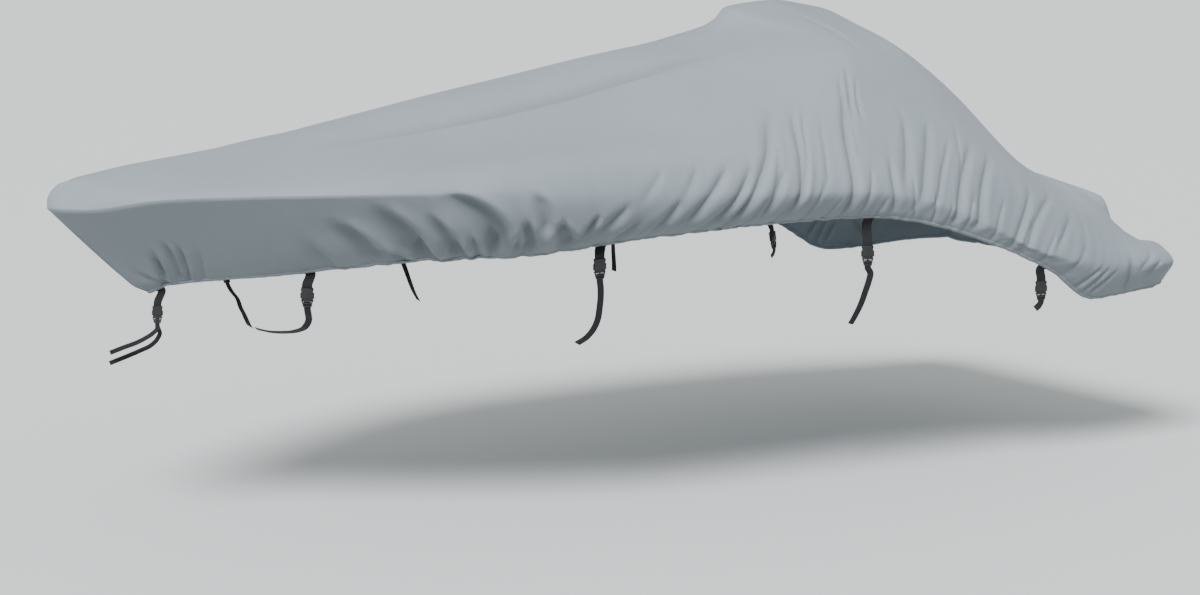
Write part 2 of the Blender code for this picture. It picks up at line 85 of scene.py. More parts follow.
# from the stem round the port side to the middle of the stern, measured from the nose and the ground
RIBS = tuple(Rib(*row) for row in (
    ((0.457, 0.000, 1.058), (0.370, 0.000, 1.101), (0.000, 0.000, 1.455), (0.006, 0.000, 1.510),
     (0.050, 0.000, 1.556), (0.090, 0.000, 1.568), (0.130, 0.0, 1.580)),
    ((0.512, 0.045, 1.090), (0.410, 0.040, 1.121), (0.045, 0.095, 1.458), (0.085, 0.062, 1.514),
     (0.118, 0.046, 1.557), (0.135, 0.042, 1.574), (0.180, 0.0, 1.589)),
    ((0.590, 0.105, 1.105), (0.475, 0.100, 1.148), (0.130, 0.205, 1.462), (0.145, 0.185, 1.512),
     (0.185, 0.135, 1.560), (0.228, 0.075, 1.586), (0.270, 0.0, 1.604)),
    ((0.715, 0.190, 1.120), (0.590, 0.205, 1.192), (0.315, 0.350, 1.500), (0.325, 0.320, 1.530),
     (0.360, 0.230, 1.570), (0.395, 0.115, 1.606), (0.420, 0.0, 1.628)),
    ((0.870, 0.330, 1.140), (0.780, 0.410, 1.245), (0.600, 0.580, 1.523), (0.608, 0.535, 1.550),
     (0.630, 0.370, 1.590), (0.655, 0.180, 1.620), (0.670, 0.0, 1.660)),
    ((1.100, 0.500, 1.172), (1.025, 0.590, 1.278), (0.870, 0.745, 1.529), (0.880, 0.690, 1.562),
     (0.905, 0.500, 1.606), (0.932, 0.220, 1.648), (0.950, 0.0, 1.698)),
    ((1.450, 0.720, 1.207), (1.405, 0.858, 1.322), (1.320, 0.960, 1.527), (1.322, 0.885, 1.602),
     (1.325, 0.640, 1.648), (1.330, 0.280, 1.698), (1.330, 0.0, 1.768)),
    ((1.850, 0.890, 1.224), (1.830, 1.046, 1.340), (1.800, 1.100, 1.512), (1.800, 1.005, 1.636),
     (1.810, 0.740, 1.690), (1.820, 0.310, 1.763), (1.820, 0.0, 1.862)),
    ((2.360, 1.000, 1.275), (2.360, 1.124, 1.354), (2.350, 1.165, 1.490), (2.350, 1.060, 1.648),
     (2.350, 0.780, 1.728), (2.350, 0.330, 1.850), (2.350, 0.0, 1.956)),
    ((2.880, 1.060, 1.302), (2.880, 1.150, 1.360), (2.880, 1.195, 1.465), (2.880, 1.085, 1.638),
     (2.880, 0.800, 1.775), (2.900, 0.370, 1.967), (2.900, 0.0, 2.048)),
    ((3.220, 1.088, 1.311), (3.220, 1.143, 1.353), (3.220, 1.200, 1.452), (3.225, 1.090, 1.620),
     (3.250, 0.855, 1.786), (3.290, 0.470, 2.018), (3.230, 0.0, 2.096)),
    ((3.362, 1.106, 1.312), (3.364, 1.156, 1.351), (3.370, 1.200, 1.446), (3.390, 1.090, 1.607),
     (3.450, 0.888, 1.791), (3.560, 0.600, 2.036), (3.380, 0.0, 2.145)),
    ((3.449, 1.115, 1.310), (3.451, 1.162, 1.350), (3.460, 1.200, 1.441), (3.495, 1.090, 1.600),
     (3.570, 0.900, 1.791), (3.700, 0.628, 2.041), (3.432, 0.0, 2.185)),
    ((3.537, 1.130, 1.308), (3.544, 1.170, 1.345), (3.560, 1.200, 1.432), (3.595, 1.090, 1.594),
     (3.670, 0.900, 1.789), (3.780, 0.624, 2.041), (3.475, 0.0, 2.227)),
    ((3.661, 1.150, 1.293), (3.671, 1.180, 1.327), (3.700, 1.200, 1.405), (3.720, 1.090, 1.583),
     (3.775, 0.900, 1.780), (3.860, 0.616, 2.040), (3.700, 0.0, 2.256)),
    ((3.877, 1.160, 1.248), (3.890, 1.183, 1.278), (3.930, 1.200, 1.340), (3.930, 1.090, 1.556),
     (3.945, 0.900, 1.757), (3.985, 0.602, 2.026), (3.920, 0.0, 2.238)),
    ((4.143, 1.158, 1.166), (4.157, 1.180, 1.194), (4.200, 1.195, 1.230), (4.200, 1.090, 1.482),
     (4.200, 0.890, 1.694), (4.180, 0.560, 1.992), (4.180, 0.0, 2.168)),
    ((4.391, 1.148, 1.074), (4.406, 1.172, 1.100), (4.450, 1.190, 1.110), (4.450, 1.090, 1.385),
     (4.450, 0.880, 1.575), (4.450, 0.560, 1.806), (4.450, 0.0, 1.985)),
    ((4.618, 1.130, 0.973), (4.639, 1.160, 0.999), (4.700, 1.185, 1.040), (4.700, 1.090, 1.270),
     (4.700, 0.890, 1.410), (4.700, 0.590, 1.548), (4.700, 0.0, 1.700)),
    ((4.879, 1.085, 0.821), (4.888, 1.120, 0.864), (4.900, 1.170, 1.000), (4.890, 1.080, 1.200),
     (4.880, 0.920, 1.318), (4.880, 0.650, 1.410), (4.880, 0.0, 1.490)),
    ((5.060, 1.062, 0.814), (5.066, 1.105, 0.857), (5.080, 1.160, 0.985), (5.030, 1.060, 1.155),
     (5.000, 0.960, 1.270), (4.980, 0.730, 1.366), (4.980, 0.0, 1.410)),
    ((5.240, 1.045, 0.824), (5.245, 1.085, 0.864), (5.260, 1.150, 0.975), (5.190, 1.050, 1.095),
     (5.120, 0.970, 1.190), (5.070, 0.860, 1.318), (5.030, 0.0, 1.378)),
    ((5.410, 1.020, 0.838), (5.420, 1.045, 0.875), (5.435, 1.092, 0.962), (5.388, 1.030, 1.033),
     (5.225, 0.940, 1.066), (5.130, 0.885, 1.290), (5.060, 0.0, 1.362)),
    ((5.515, 0.900, 0.858), (5.532, 0.915, 0.886), (5.548, 0.950, 0.955), (5.506, 0.905, 1.027),
     (5.285, 0.790, 1.062), (5.178, 0.770, 1.282), (5.080, 0.0, 1.356)),
    ((5.540, 0.600, 0.864), (5.556, 0.605, 0.890), (5.567, 0.620, 0.952), (5.524, 0.600, 1.025),
     (5.300, 0.520, 1.062), (5.198, 0.500, 1.284), (5.100, 0.0, 1.350)),
    ((5.545, 0.000, 0.866), (5.560, 0.000, 0.892), (5.570, 0.000, 0.952), (5.527, 0.000, 1.025),
     (5.305, 0.000, 1.062), (5.202, 0.000, 1.286), (5.120, 0.0, 1.344)),
))
RAIL_LINE = Rib._fields.index("rail")


class Fold(NamedTuple):
    """A soft trough drawn on an elevation from its foot to its head; bend swings its middle forward."""

    foot_along: float
    foot_z: float
    head_along: float
    head_z: float
    width: float
    depth: float
    bend: float = 0.0


# the solid's own folds on the port side; along is x, and a bend of 0 is left out
MAIN_FOLDS = tuple(Fold(*row) for row in (
    (1.110, 1.17, 0.905, 1.33, 0.030, 0.010),
    (1.255, 1.19, 0.945, 1.42, 0.034, 0.026, -0.030),
    (1.415, 1.22, 1.085, 1.49, 0.040, 0.029, -0.022),
    (1.530, 1.24, 1.315, 1.45, 0.028, 0.020, -0.008),
    (1.680, 1.29, 1.350, 1.53, 0.044, 0.036, -0.048),
    (1.835, 1.37, 1.740, 1.53, 0.032, 0.017, -0.016),
    (2.070, 1.31, 2.215, 1.47, 0.026, 0.015),
    (2.370, 1.33, 2.460, 1.47, 0.026, 0.013),
    (2.530, 1.38, 2.750, 1.61, 0.024, 0.015, 0.014),
    (2.660, 1.35, 2.860, 1.61, 0.024, 0.018),
    (2.770, 1.38, 3.240, 1.83, 0.022, 0.016, 0.048),
    (2.910, 1.38, 3.030, 1.58, 0.022, 0.013, 0.012),
    (3.060, 1.39, 3.330, 1.84, 0.020, 0.014, 0.050),
    (3.360, 1.37, 3.620, 1.89, 0.024, 0.017, 0.052),
    (3.610, 1.34, 3.655, 1.60, 0.020, 0.012, 0.023),
    (3.700, 1.50, 3.880, 1.78, 0.024, 0.011),
    (3.780, 1.42, 4.040, 1.75, 0.024, 0.013, 0.021),
    (3.960, 1.26, 4.280, 1.63, 0.024, 0.015, 0.059),
    (4.110, 1.26, 4.370, 1.57, 0.024, 0.014, 0.049),
    (4.310, 1.12, 4.540, 1.42, 0.022, 0.011),
    (4.420, 1.13, 4.740, 1.35, 0.020, 0.010, 0.050),
    (4.620, 1.11, 4.765, 1.25, 0.020, 0.008),
))
# creases between them, and the small dimples that the gathered hem pulls
FINE_FOLDS = tuple(Fold(*row) for row in (
    (0.484, 1.13, 0.390, 1.25, 0.011, 0.0085, -0.008),
    (0.503, 1.12, 0.392, 1.28, 0.012, 0.0125),
    (0.543, 1.14, 0.415, 1.32, 0.013, 0.0150, -0.007),
    (0.583, 1.13, 0.470, 1.31, 0.013, 0.0130, -0.005),
    (0.641, 1.13, 0.555, 1.29, 0.013, 0.0065),
    (0.506, 1.10, 0.357, 1.16, 0.010, 0.0070, -0.003),
    (1.345, 1.21, 1.190, 1.30, 0.022, 0.0230, 0.006),
    (1.450, 1.22, 1.330, 1.32, 0.021, 0.0220, 0.003),
    (1.580, 1.22, 1.470, 1.32, 0.021, 0.0230),
    (1.626, 1.23, 1.518, 1.35, 0.017, 0.0190, 0.004),
    (1.675, 1.26, 1.600, 1.36, 0.017, 0.0190),
    (1.764, 1.26, 1.704, 1.36, 0.015, 0.0170),
    (1.817, 1.27, 1.730, 1.41, 0.027, 0.0300, 0.008),
    (1.984, 1.28, 1.880, 1.40, 0.027, 0.0300, 0.009),
    (2.020, 1.30, 2.060, 1.42, 0.022, 0.0230),
    (2.210, 1.29, 2.270, 1.38, 0.023, 0.0144),
    (2.270, 1.48, 2.410, 1.62, 0.020, 0.0060),
    (2.300, 1.30, 2.350, 1.38, 0.014, 0.0060),
    (2.440, 1.31, 2.500, 1.39, 0.014, 0.0060),
    (2.470, 1.48, 2.580, 1.62, 0.018, 0.0060),
    (2.600, 1.31, 2.660, 1.40, 0.014, 0.0060),
    (2.740, 1.32, 2.800, 1.43, 0.013, 0.0065),
    (2.830, 1.31, 2.900, 1.46, 0.013, 0.0060),
    (2.940, 1.48, 3.120, 1.74, 0.014, 0.0050, 0.020),
    (3.812, 2.09, 3.760, 2.17, 0.020, 0.0080, -0.030),
    (3.570, 1.78, 3.669, 1.99, 0.013, 0.0085),
    (3.531, 1.78, 3.610, 1.95, 0.012, 0.0065, 0.005),
    (3.607, 1.77, 3.678, 1.91, 0.012, 0.0075, 0.006),
    (2.990, 1.32, 3.050, 1.45, 0.013, 0.0060),
    (3.080, 1.44, 3.390, 1.85, 0.012, 0.0085, 0.033),
    (3.150, 1.32, 3.230, 1.52, 0.012, 0.0055, 0.012),
    (3.230, 1.50, 3.420, 1.80, 0.013, 0.0050, 0.020),
    (3.260, 1.32, 3.310, 1.44, 0.012, 0.0050),
    (3.440, 1.34, 3.530, 1.58, 0.013, 0.0060, 0.012),
    (3.480, 1.62, 3.650, 1.90, 0.013, 0.0050, 0.018),
    (3.530, 1.32, 3.570, 1.43, 0.012, 0.0050),
    (3.730, 1.31, 3.750, 1.51, 0.012, 0.0070, 0.021),
    (3.840, 1.27, 3.850, 1.44, 0.012, 0.0070),
    (3.860, 1.38, 4.120, 1.66, 0.013, 0.0085, 0.027),
    (3.910, 1.26, 3.960, 1.40, 0.012, 0.0050),
    (4.030, 1.24, 4.130, 1.42, 0.012, 0.0060, 0.010),
    (4.060, 1.50, 4.220, 1.72, 0.013, 0.0050, 0.012),
    (4.200, 1.17, 4.330, 1.37, 0.013, 0.0055, 0.016),
    (4.370, 1.10, 4.500, 1.26, 0.012, 0.0045, 0.012),
    (4.520, 1.05, 4.660, 1.20, 0.013, 0.0050, 0.012),
    (4.700, 0.98, 4.850, 1.12, 0.013, 0.0040),
    (4.780, 0.89, 4.930, 1.00, 0.012, 0.0080),
    (4.840, 0.87, 4.975, 0.99, 0.012, 0.0080),
    (4.890, 0.86, 5.030, 0.97, 0.012, 0.0080),
    (5.125, 0.86, 5.095, 1.03, 0.026, 0.0110),
    (5.180, 0.96, 5.310, 1.05, 0.014, 0.0060),
    (5.240, 0.92, 5.360, 1.01, 0.014, 0.0060),
))
# stern, seen from behind: along is the half-breadth to port, and its negative to starboard
STERN_FOLDS = tuple(Fold(*row) for row in (
    (-0.78, 0.87, -0.70, 1.22, 0.045, 0.014, 0.010),
    (-0.52, 0.86, -0.50, 1.02, 0.022, 0.006),
    (-0.31, 0.88, -0.36, 1.24, 0.045, 0.012, -0.012),
    (-0.12, 0.86, -0.14, 1.00, 0.022, 0.006),
    (0.08, 0.87, 0.05, 1.20, 0.042, 0.010),
    (0.30, 0.86, 0.31, 1.01, 0.022, 0.006),
    (0.52, 0.88, 0.47, 1.24, 0.045, 0.014, 0.012),
    (0.70, 0.86, 0.66, 1.00, 0.022, 0.006),
    (0.84, 0.87, 0.74, 1.20, 0.042, 0.012),
))
STARBOARD_SHIFT = 0.055      # the starboard folds lie off the port ones by up to this much
STARBOARD_TURNS = 2.4        # step of the wave that varies the shift, radians a main fold
STERN_FROM = 5.18            # x where the skirt turns round the stern's corner


def cubic(t: Grid, start: Grid, leave: Grid, end: Grid, arrive: Grid) -> Grid:
    """Return the cubic with these ends and end slopes, at shares t of its span."""
    return ((2 * t**3 - 3 * t**2 + 1) * start + (t**3 - 2 * t**2 + t) * leave
            + (3 * t**2 - 2 * t**3) * end + (t**3 - t**2) * arrive)


def hermite(knots: Grid, values: Grid, at: Grid) -> Grid:
    """Read a smooth curve through rows of values at rising knots, at other stations.

    Args:
        knots: Stations of the values.
        values: One row for each station.
        at: Stations to read the curve at.

    Returns:
        One row for each station that was asked for.
    """
    spans = np.diff(knots)
    slopes = np.diff(values, axis=0) / spans[:, None]
    tangents = np.empty_like(values)
    tangents[0], tangents[-1] = slopes[0], slopes[-1]
    before, after = spans[:-1, None], spans[1:, None]
    tangents[1:-1] = (slopes[:-1] * after + slopes[1:] * before) / (before + after)
    span = np.clip(np.searchsorted(knots, at, side="right") - 1, 0, len(spans) - 1)
    length = spans[span][:, None]
    t = (at - knots[span])[:, None] / length
    return cubic(t, values[span], length * tangents[span], values[span + 1], length * tangents[span + 1])


def stations_of(points: Grid) -> Grid:
    """Return how far along its polyline each point lies."""
    return np.concatenate([[0.0], np.cumsum(np.linalg.norm(np.diff(points, axis=0), axis=1))])


def unit(vectors: Grid) -> Grid:
    """Return vectors, or one vector, at length 1."""
    return vectors / np.linalg.norm(vectors, axis=-1, keepdims=True)


def ease(value: Grid) -> Grid:
    """Return a smooth step from 0 to 1 as the value goes from 0 to 1."""
    held = np.clip(value, 0, 1)
    return held**2 * (3 - 2 * held)


def read_table(table: Sequence[tuple], at: Grid) -> Grid:
    """Read a two-column table (place, value) at places, straight between its lines."""
    places, values = zip(*table)
    return np.interp(at, places, values)


def read_rows(knots: Grid, rows: Grid, at: Grid) -> Grid:
    """Read rows of values at stations, straight between their knots."""
    return np.stack([np.interp(at, knots, column) for column in rows.T], axis=1)


def noise_grid(*axes: Grid) -> Grid:
    """Return the noise at the points of a grid, from their three coordinates."""
    return np.apply_along_axis(noise.noise, -1, np.stack(np.broadcast_arrays(*axes), axis=-1))


# ---------------------------------------------------------------- finishes
class NodeKit:
    """A short way to write a material's node tree."""

    def __init__(self, name: str) -> None:
        """Start a material with an empty Principled BSDF."""
        self.material = bpy.data.materials.new(name)
        self.material.use_nodes = True
        self.tree = self.material.node_tree
        self.shader = next(n for n in self.tree.nodes if n.type == "BSDF_PRINCIPLED")

    def wire(self, node: bpy.types.Node, inputs: dict) -> None:
        """Set a node's sockets, by name or index, to values or to other nodes' outputs."""
        for key, value in inputs.items():
            if isinstance(value, Socket):
                self.tree.links.new(value, node.inputs[key])
            else:
                node.inputs[key].default_value = value

    def add(self, kind: str, inputs: dict | None = None, **settings: object) -> bpy.types.Node:
        """Add a node.

        Args:
            kind: The node's type, without the ShaderNode prefix.
            inputs: Socket name or index to a value or to another node's output.
            settings: The node's own properties.

        Returns:
            The node.
        """
        node = self.tree.nodes.new("ShaderNode" + kind)
        for key, value in settings.items():
            setattr(node, key, value)
        self.wire(node, inputs or {})
        return node

    def math(self, operation: str, first: object, second: object = 0.0) -> Socket:
        """Add a Math node and return its value."""
        return self.add("Math", {0: first, 1: second}, operation=operation).outputs[0]

    def noise(self, place: object, scale: float, detail: float = 3.0, roughness: float = 0.5) -> Socket:
        """Add a Noise Texture and return its factor."""
        values = {"Vector": place, "Scale": scale, "Detail": detail, "Roughness": roughness}
        return self.add("TexNoise", values).outputs["Fac"]

    def ramp(self, factor: object, low: float, high: float, start: float = 0.0,
             stop: float = 1.0) -> Socket:
        """Map a factor from start..stop to low..high and return it."""
        values = {"Value": factor, "From Min": start, "From Max": stop, "To Min": low, "To Max": high}
        return self.add("MapRange", values).outputs["Result"]

    def mix(self, factor: object, first: object, second: object) -> Socket:
        """Mix two colours and return the result."""
        return self.add("Mix", {0: factor, 6: first, 7: second}, data_type="RGBA").outputs[2]

    def bump(self, height: object, distance: float, strength: float, below: object = None) -> Socket:
        """Add a Bump node, over another's normal if given, and return its normal."""
        values = {"Height": height, "Distance": distance, "Strength": strength}
        if below is not None:
            values["Normal"] = below
        return self.add("Bump", values).outputs["Normal"]

    def finish(self, colour: object, roughness: object, normal: object = None,
               **constants: float) -> Material:
        """Wire up the shader.

        Args:
            colour: The base colour.
            roughness: The roughness.
            normal: The bumped normal.
            constants: Plain numbers for the shader's own sockets, with _ for a space.

        Returns:
            The finished material.
        """
        self.wire(self.shader, {"Base Color": colour, "Roughness": roughness})
        if normal is not None:
            self.wire(self.shader, {"Normal": normal})
        self.wire(self.shader, {key.replace("_", " "): value for key, value in constants.items()})
        return self.material


@dataclass(frozen=True)
class CanvasFinish:
    """Coated polyester canvas, with a plain weave and slubs; its folds are darkened by a little dust and
    by painted shade.
    """

    base: tuple = (0.345, 0.392, 0.440, 1)
    shade: tuple = (0.312, 0.356, 0.398, 1)
    # colour of the deepest folds: a little dust, and painted shade where the creases fall into shadow
    dust_and_crease_shade: tuple = (0.222, 0.256, 0.270, 1)
    thread: float = 0.0011
    weave_height: float = 0.00012
    slub_height: float = 0.0006
    cockle_height: float = 0.0024

    def make(self) -> Material:
        """Return the material, which reads the UV map, in metres, and the fold_depth attribute."""
        kit = NodeKit("grey_canvas")
        uv = kit.add("UVMap", uv_map="cloth").outputs["UV"]
        place = kit.add("TexCoord").outputs["Object"]
        split = kit.add("SeparateXYZ", {"Vector": uv})
        turn = 2 * math.pi / self.thread
        warp = kit.math("SINE", kit.math("MULTIPLY", split.outputs["X"], turn))
        weft = kit.math("SINE", kit.math("MULTIPLY", split.outputs["Y"], turn))
        weave = kit.math("MULTIPLY", warp, weft)
        slub = kit.noise(uv, 240.0, 2.0)
        cockle = kit.noise(place, 9.0, 3.0, 0.55)
        patch = kit.noise(place, 1.6, 3.0)
        fade = kit.noise(place, 26.0, 4.0)
        colour = kit.mix(kit.ramp(patch, 0.0, 1.0, 0.3, 0.7), self.base, self.shade)
        colour = kit.mix(kit.ramp(fade, 0.0, 0.18, 0.4, 0.75), colour, self.shade)
        # painted shade: the deeper a fold, crease or pucker, the darker the canvas, partly dust and partly
        # the shade that falls there
        depth = kit.add("Attribute", attribute_name="fold_depth").outputs["Fac"]
        colour = kit.mix(kit.ramp(depth, 0.0, 0.55, 0.0, 0.018), colour, self.dust_and_crease_shade)
        roughness = kit.ramp(slub, 0.66, 0.80)
        normal = kit.bump(cockle, self.cockle_height, 0.35)
        normal = kit.bump(slub, self.slub_height, 0.25, normal)
        normal = kit.bump(weave, self.weave_height, 0.5, normal)
        return kit.finish(colour, roughness, normal,
                          Sheen_Weight=0.12, Sheen_Roughness=0.5, Specular_IOR_Level=0.35)


@dataclass(frozen=True)
class WebbingFinish:
    """Flat polypropylene webbing with crosswise ribs, chevron rows and bound edges."""

    name: str
    base: tuple = (0.015, 0.016, 0.018, 1)
    worn: tuple = (0.038, 0.040, 0.043, 1)
    rib: float = 0.0016
    rows: int = 6
    rib_height: float = 0.00035

    def make(self) -> Material:
        """Return the material, which reads the UV map: metres along, and -0.5 to 0.5 across."""
        kit = NodeKit(self.name)
        uv = kit.add("UVMap", uv_map="cloth").outputs["UV"]
        split = kit.add("SeparateXYZ", {"Vector": uv})
        across = split.outputs["Y"]
        zigzag = kit.math("PINGPONG", kit.math("MULTIPLY", across, self.rows), 0.5)
        along = kit.math("MULTIPLY", split.outputs["X"], 1 / self.rib)
        chevron = kit.math("ADD", along, kit.math("MULTIPLY", zigzag, 2.2))
        rib = kit.math("SINE", kit.math("MULTIPLY", chevron, 2 * math.pi))
        edge = kit.ramp(kit.math("ABSOLUTE", across), 0.0, 1.0, 0.42, 0.5)
        fuzz = kit.noise(uv, 900.0, 2.0)
        wear = kit.noise(uv, 34.0, 4.0, 0.6)
        colour = kit.mix(kit.ramp(rib, 0.0, 0.35, -1.0, 1.0), self.base, self.worn)
        colour = kit.mix(kit.math("MULTIPLY", edge, kit.ramp(wear, 0.0, 0.7, 0.4, 0.7)), colour, self.worn)
        height = kit.math("ADD", kit.math("MULTIPLY", rib, 0.5), kit.math("MULTIPLY", fuzz, 0.3))
        return kit.finish(colour, kit.ramp(fuzz, 0.62, 0.85), kit.bump(height, self.rib_height, 0.8),
                          Sheen_Weight=0.12, Sheen_Roughness=0.4, Specular_IOR_Level=0.3)


@dataclass(frozen=True)
class PlasticFinish:
    """Moulded acetal with a fine spark-eroded grain and scuffed faces."""

    base: tuple = (0.013, 0.013, 0.015, 1)
    scuffed: tuple = (0.036, 0.037, 0.040, 1)

    def make(self) -> Material:
        """Return the material, which reads Object coordinates."""
        kit = NodeKit("moulded_plastic")
        place = kit.add("TexCoord").outputs["Object"]
        grain = kit.noise(place, 1400.0, 2.0)
        scuff = kit.noise(place, 60.0, 5.0, 0.65)
        colour = kit.mix(kit.ramp(scuff, 0.0, 0.6, 0.55, 0.8), self.base, self.scuffed)
        roughness = kit.ramp(scuff, 0.34, 0.55, 0.35, 0.7)
        return kit.finish(colour, roughness, kit.bump(grain, 0.0001, 0.5), Specular_IOR_Level=0.5)


@dataclass(frozen=True)
class FloorFinish:
    """A plain pale floor."""

    base: tuple = (0.93, 0.935, 0.94, 1)

    def make(self) -> Material:
        """Return the material."""
        kit = NodeKit("pale_floor")
        place = kit.add("TexCoord").outputs["Object"]
        blur = kit.noise(place, 0.4, 2.0)
        return kit.finish(kit.mix(blur, self.base, tuple(v * 0.985 for v in self.base[:3]) + (1,)), 0.55)


# ---------------------------------------------------------------- pieces
def finish_piece(name: str, mesh: Mesh, material: Material,
                 nodes: Sequence[str] = ()) -> Piece:
    """Turn a bmesh into a piece that rides on the root, with its place in its mesh.

    Args:
        name: The piece's name.
        mesh: The bmesh, which is freed.
        material: Its material.
        nodes: The solids that it stands for.

    Returns:
        The piece.
    """
    data = bpy.data.meshes.new(name)
    mesh.to_mesh(data)
    mesh.free()
    data.materials.append(material)
    data.shade_smooth()
    piece = bpy.data.objects.new(name, data)
    bpy.context.scene.collection.objects.link(piece)
    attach(piece, "root")
    if nodes:
        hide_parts(*nodes)
    return piece


def flat_grid(columns: int, rows: int, cell: int = 1) -> Mesh:
    """Create a flat grid, whose vertices' x and y count its finest columns and rows.

    Args:
        columns: The number of finest columns.
        rows: The number of finest rows.
        cell: The size of its cells, in finest ones.

    Returns:
        The grid.
    """
    mesh = bmesh.new()
    bmesh.ops.create_grid(mesh, x_segments=columns // cell, y_segments=rows // cell, size=0.5)
    for vert in mesh.verts:
        vert.co = ((vert.co.x + 0.5) * columns, (vert.co.y + 0.5) * rows, 0)
    return mesh


def lay_cloth(mesh: Mesh, place: Callable[[int, int], tuple]) -> None:
    """Move a flat grid's vertices to their places, and write its UV map and its fold_depth.

    Args:
        mesh: The grid.
        place: Gives the point, the UV and the depth in a fold for a column and a row.
    """
    depth_layer = mesh.verts.layers.float.new("fold_depth")
    uv_layer = mesh.loops.layers.uv.new("cloth")
    flat = {}
    for vert in mesh.verts:
        point, flat[vert], vert[depth_layer] = place(round(vert.co.x), round(vert.co.y))
        vert.co = point
    for face in mesh.faces:
        for corner in face.loops:
            corner[uv_layer].uv = flat[corner.vert]
    bmesh.ops.remove_doubles(mesh, verts=mesh.verts, dist=1e-5)
    bmesh.ops.recalc_face_normals(mesh, faces=mesh.faces)


def thicken(piece: Piece, thickness: float, offset: float) -> None:
    """Give a sheet its thickness with a Solidify modifier."""
    wall = piece.modifiers.new("thickness", "SOLIDIFY")
    wall.thickness = thickness
    wall.offset = offset


@dataclass(frozen=True)
class FoldShape:
    """The shape that all folds share: a bed with a lip on each side, which fades at its ends."""

    foot_width: float = 1.15     # width at the foot, as a share of the fold's own
    head_narrowing: float = 0.5  # how much narrower it is at the head
    bias: float = 0.50           # how much steeper the aft wall of a fold is that leans forward
    core_share: float = 0.38     # the sharp bed's share of an upright fold's depth
    core_crisp: float = 2.6      # how many times narrower the sharp bed is
    core_power: float = 1.3      # how pointed it is, where 2 is round
    lip: float = 0.42            # height of the lips, as a share of the fold's depth
    lip_upright: float = 0.5     # share of that beside an upright fold
    lip_forward: float = 0.6     # share that a fold gains as it leans forward
    lip_ahead: float = 0.6       # the forward lip's height, as a share of the aft one's
    lip_at: float = 1.9          # where the lips stand, in fold widths
    head_fade: float = 0.45      # share of the length over which the head fades
    foot_fade: float = 0.35
    foot_past: float = 0.30      # how far the fold runs on past its foot, as a share of its length

    def trough(self, along: Grid, z: Grid, fold: Fold) -> Grid:
        """Read a fold at points of its elevation.

        Args:
            along: The points' places along the elevation.
            z: Their heights.
            fold: The fold.

        Returns:
            Its depth there: 1 in its bed, below 0 on its lips.
        """
        run = np.array([fold.head_along - fold.foot_along, fold.head_z - fold.foot_z])
        length = np.hypot(*run)
        run /= length
        reach = ((along - fold.foot_along) * run[0] + (z - fold.foot_z) * run[1]) / length
        middle = np.clip(reach, 0, 1)
        bow = 4 * fold.bend * middle * (1 - middle)
        off = (along - fold.foot_along) * run[1] - (z - fold.foot_z) * run[0] + bow
        forward = max(0.0, -run[0])
        wall = np.where(off > 0, 1 - self.bias * forward, 1 + self.bias * forward)
        off = off / (fold.width * (self.foot_width - self.head_narrowing * middle) * wall)
        ends = ease((1 - reach) / self.head_fade) * ease((reach + self.foot_past) / self.foot_fade)
        core = self.core_share * (1 - forward)
        bed = (1 - core) * np.exp(-off**2) + core * np.exp(-np.abs(self.core_crisp * off)**self.core_power)
        lips = np.exp(-(off - self.lip_at)**2) + self.lip_ahead * np.exp(-(off + self.lip_at)**2)
        return (bed - self.lip * (self.lip_upright + self.lip_forward * forward) * lips) * ends


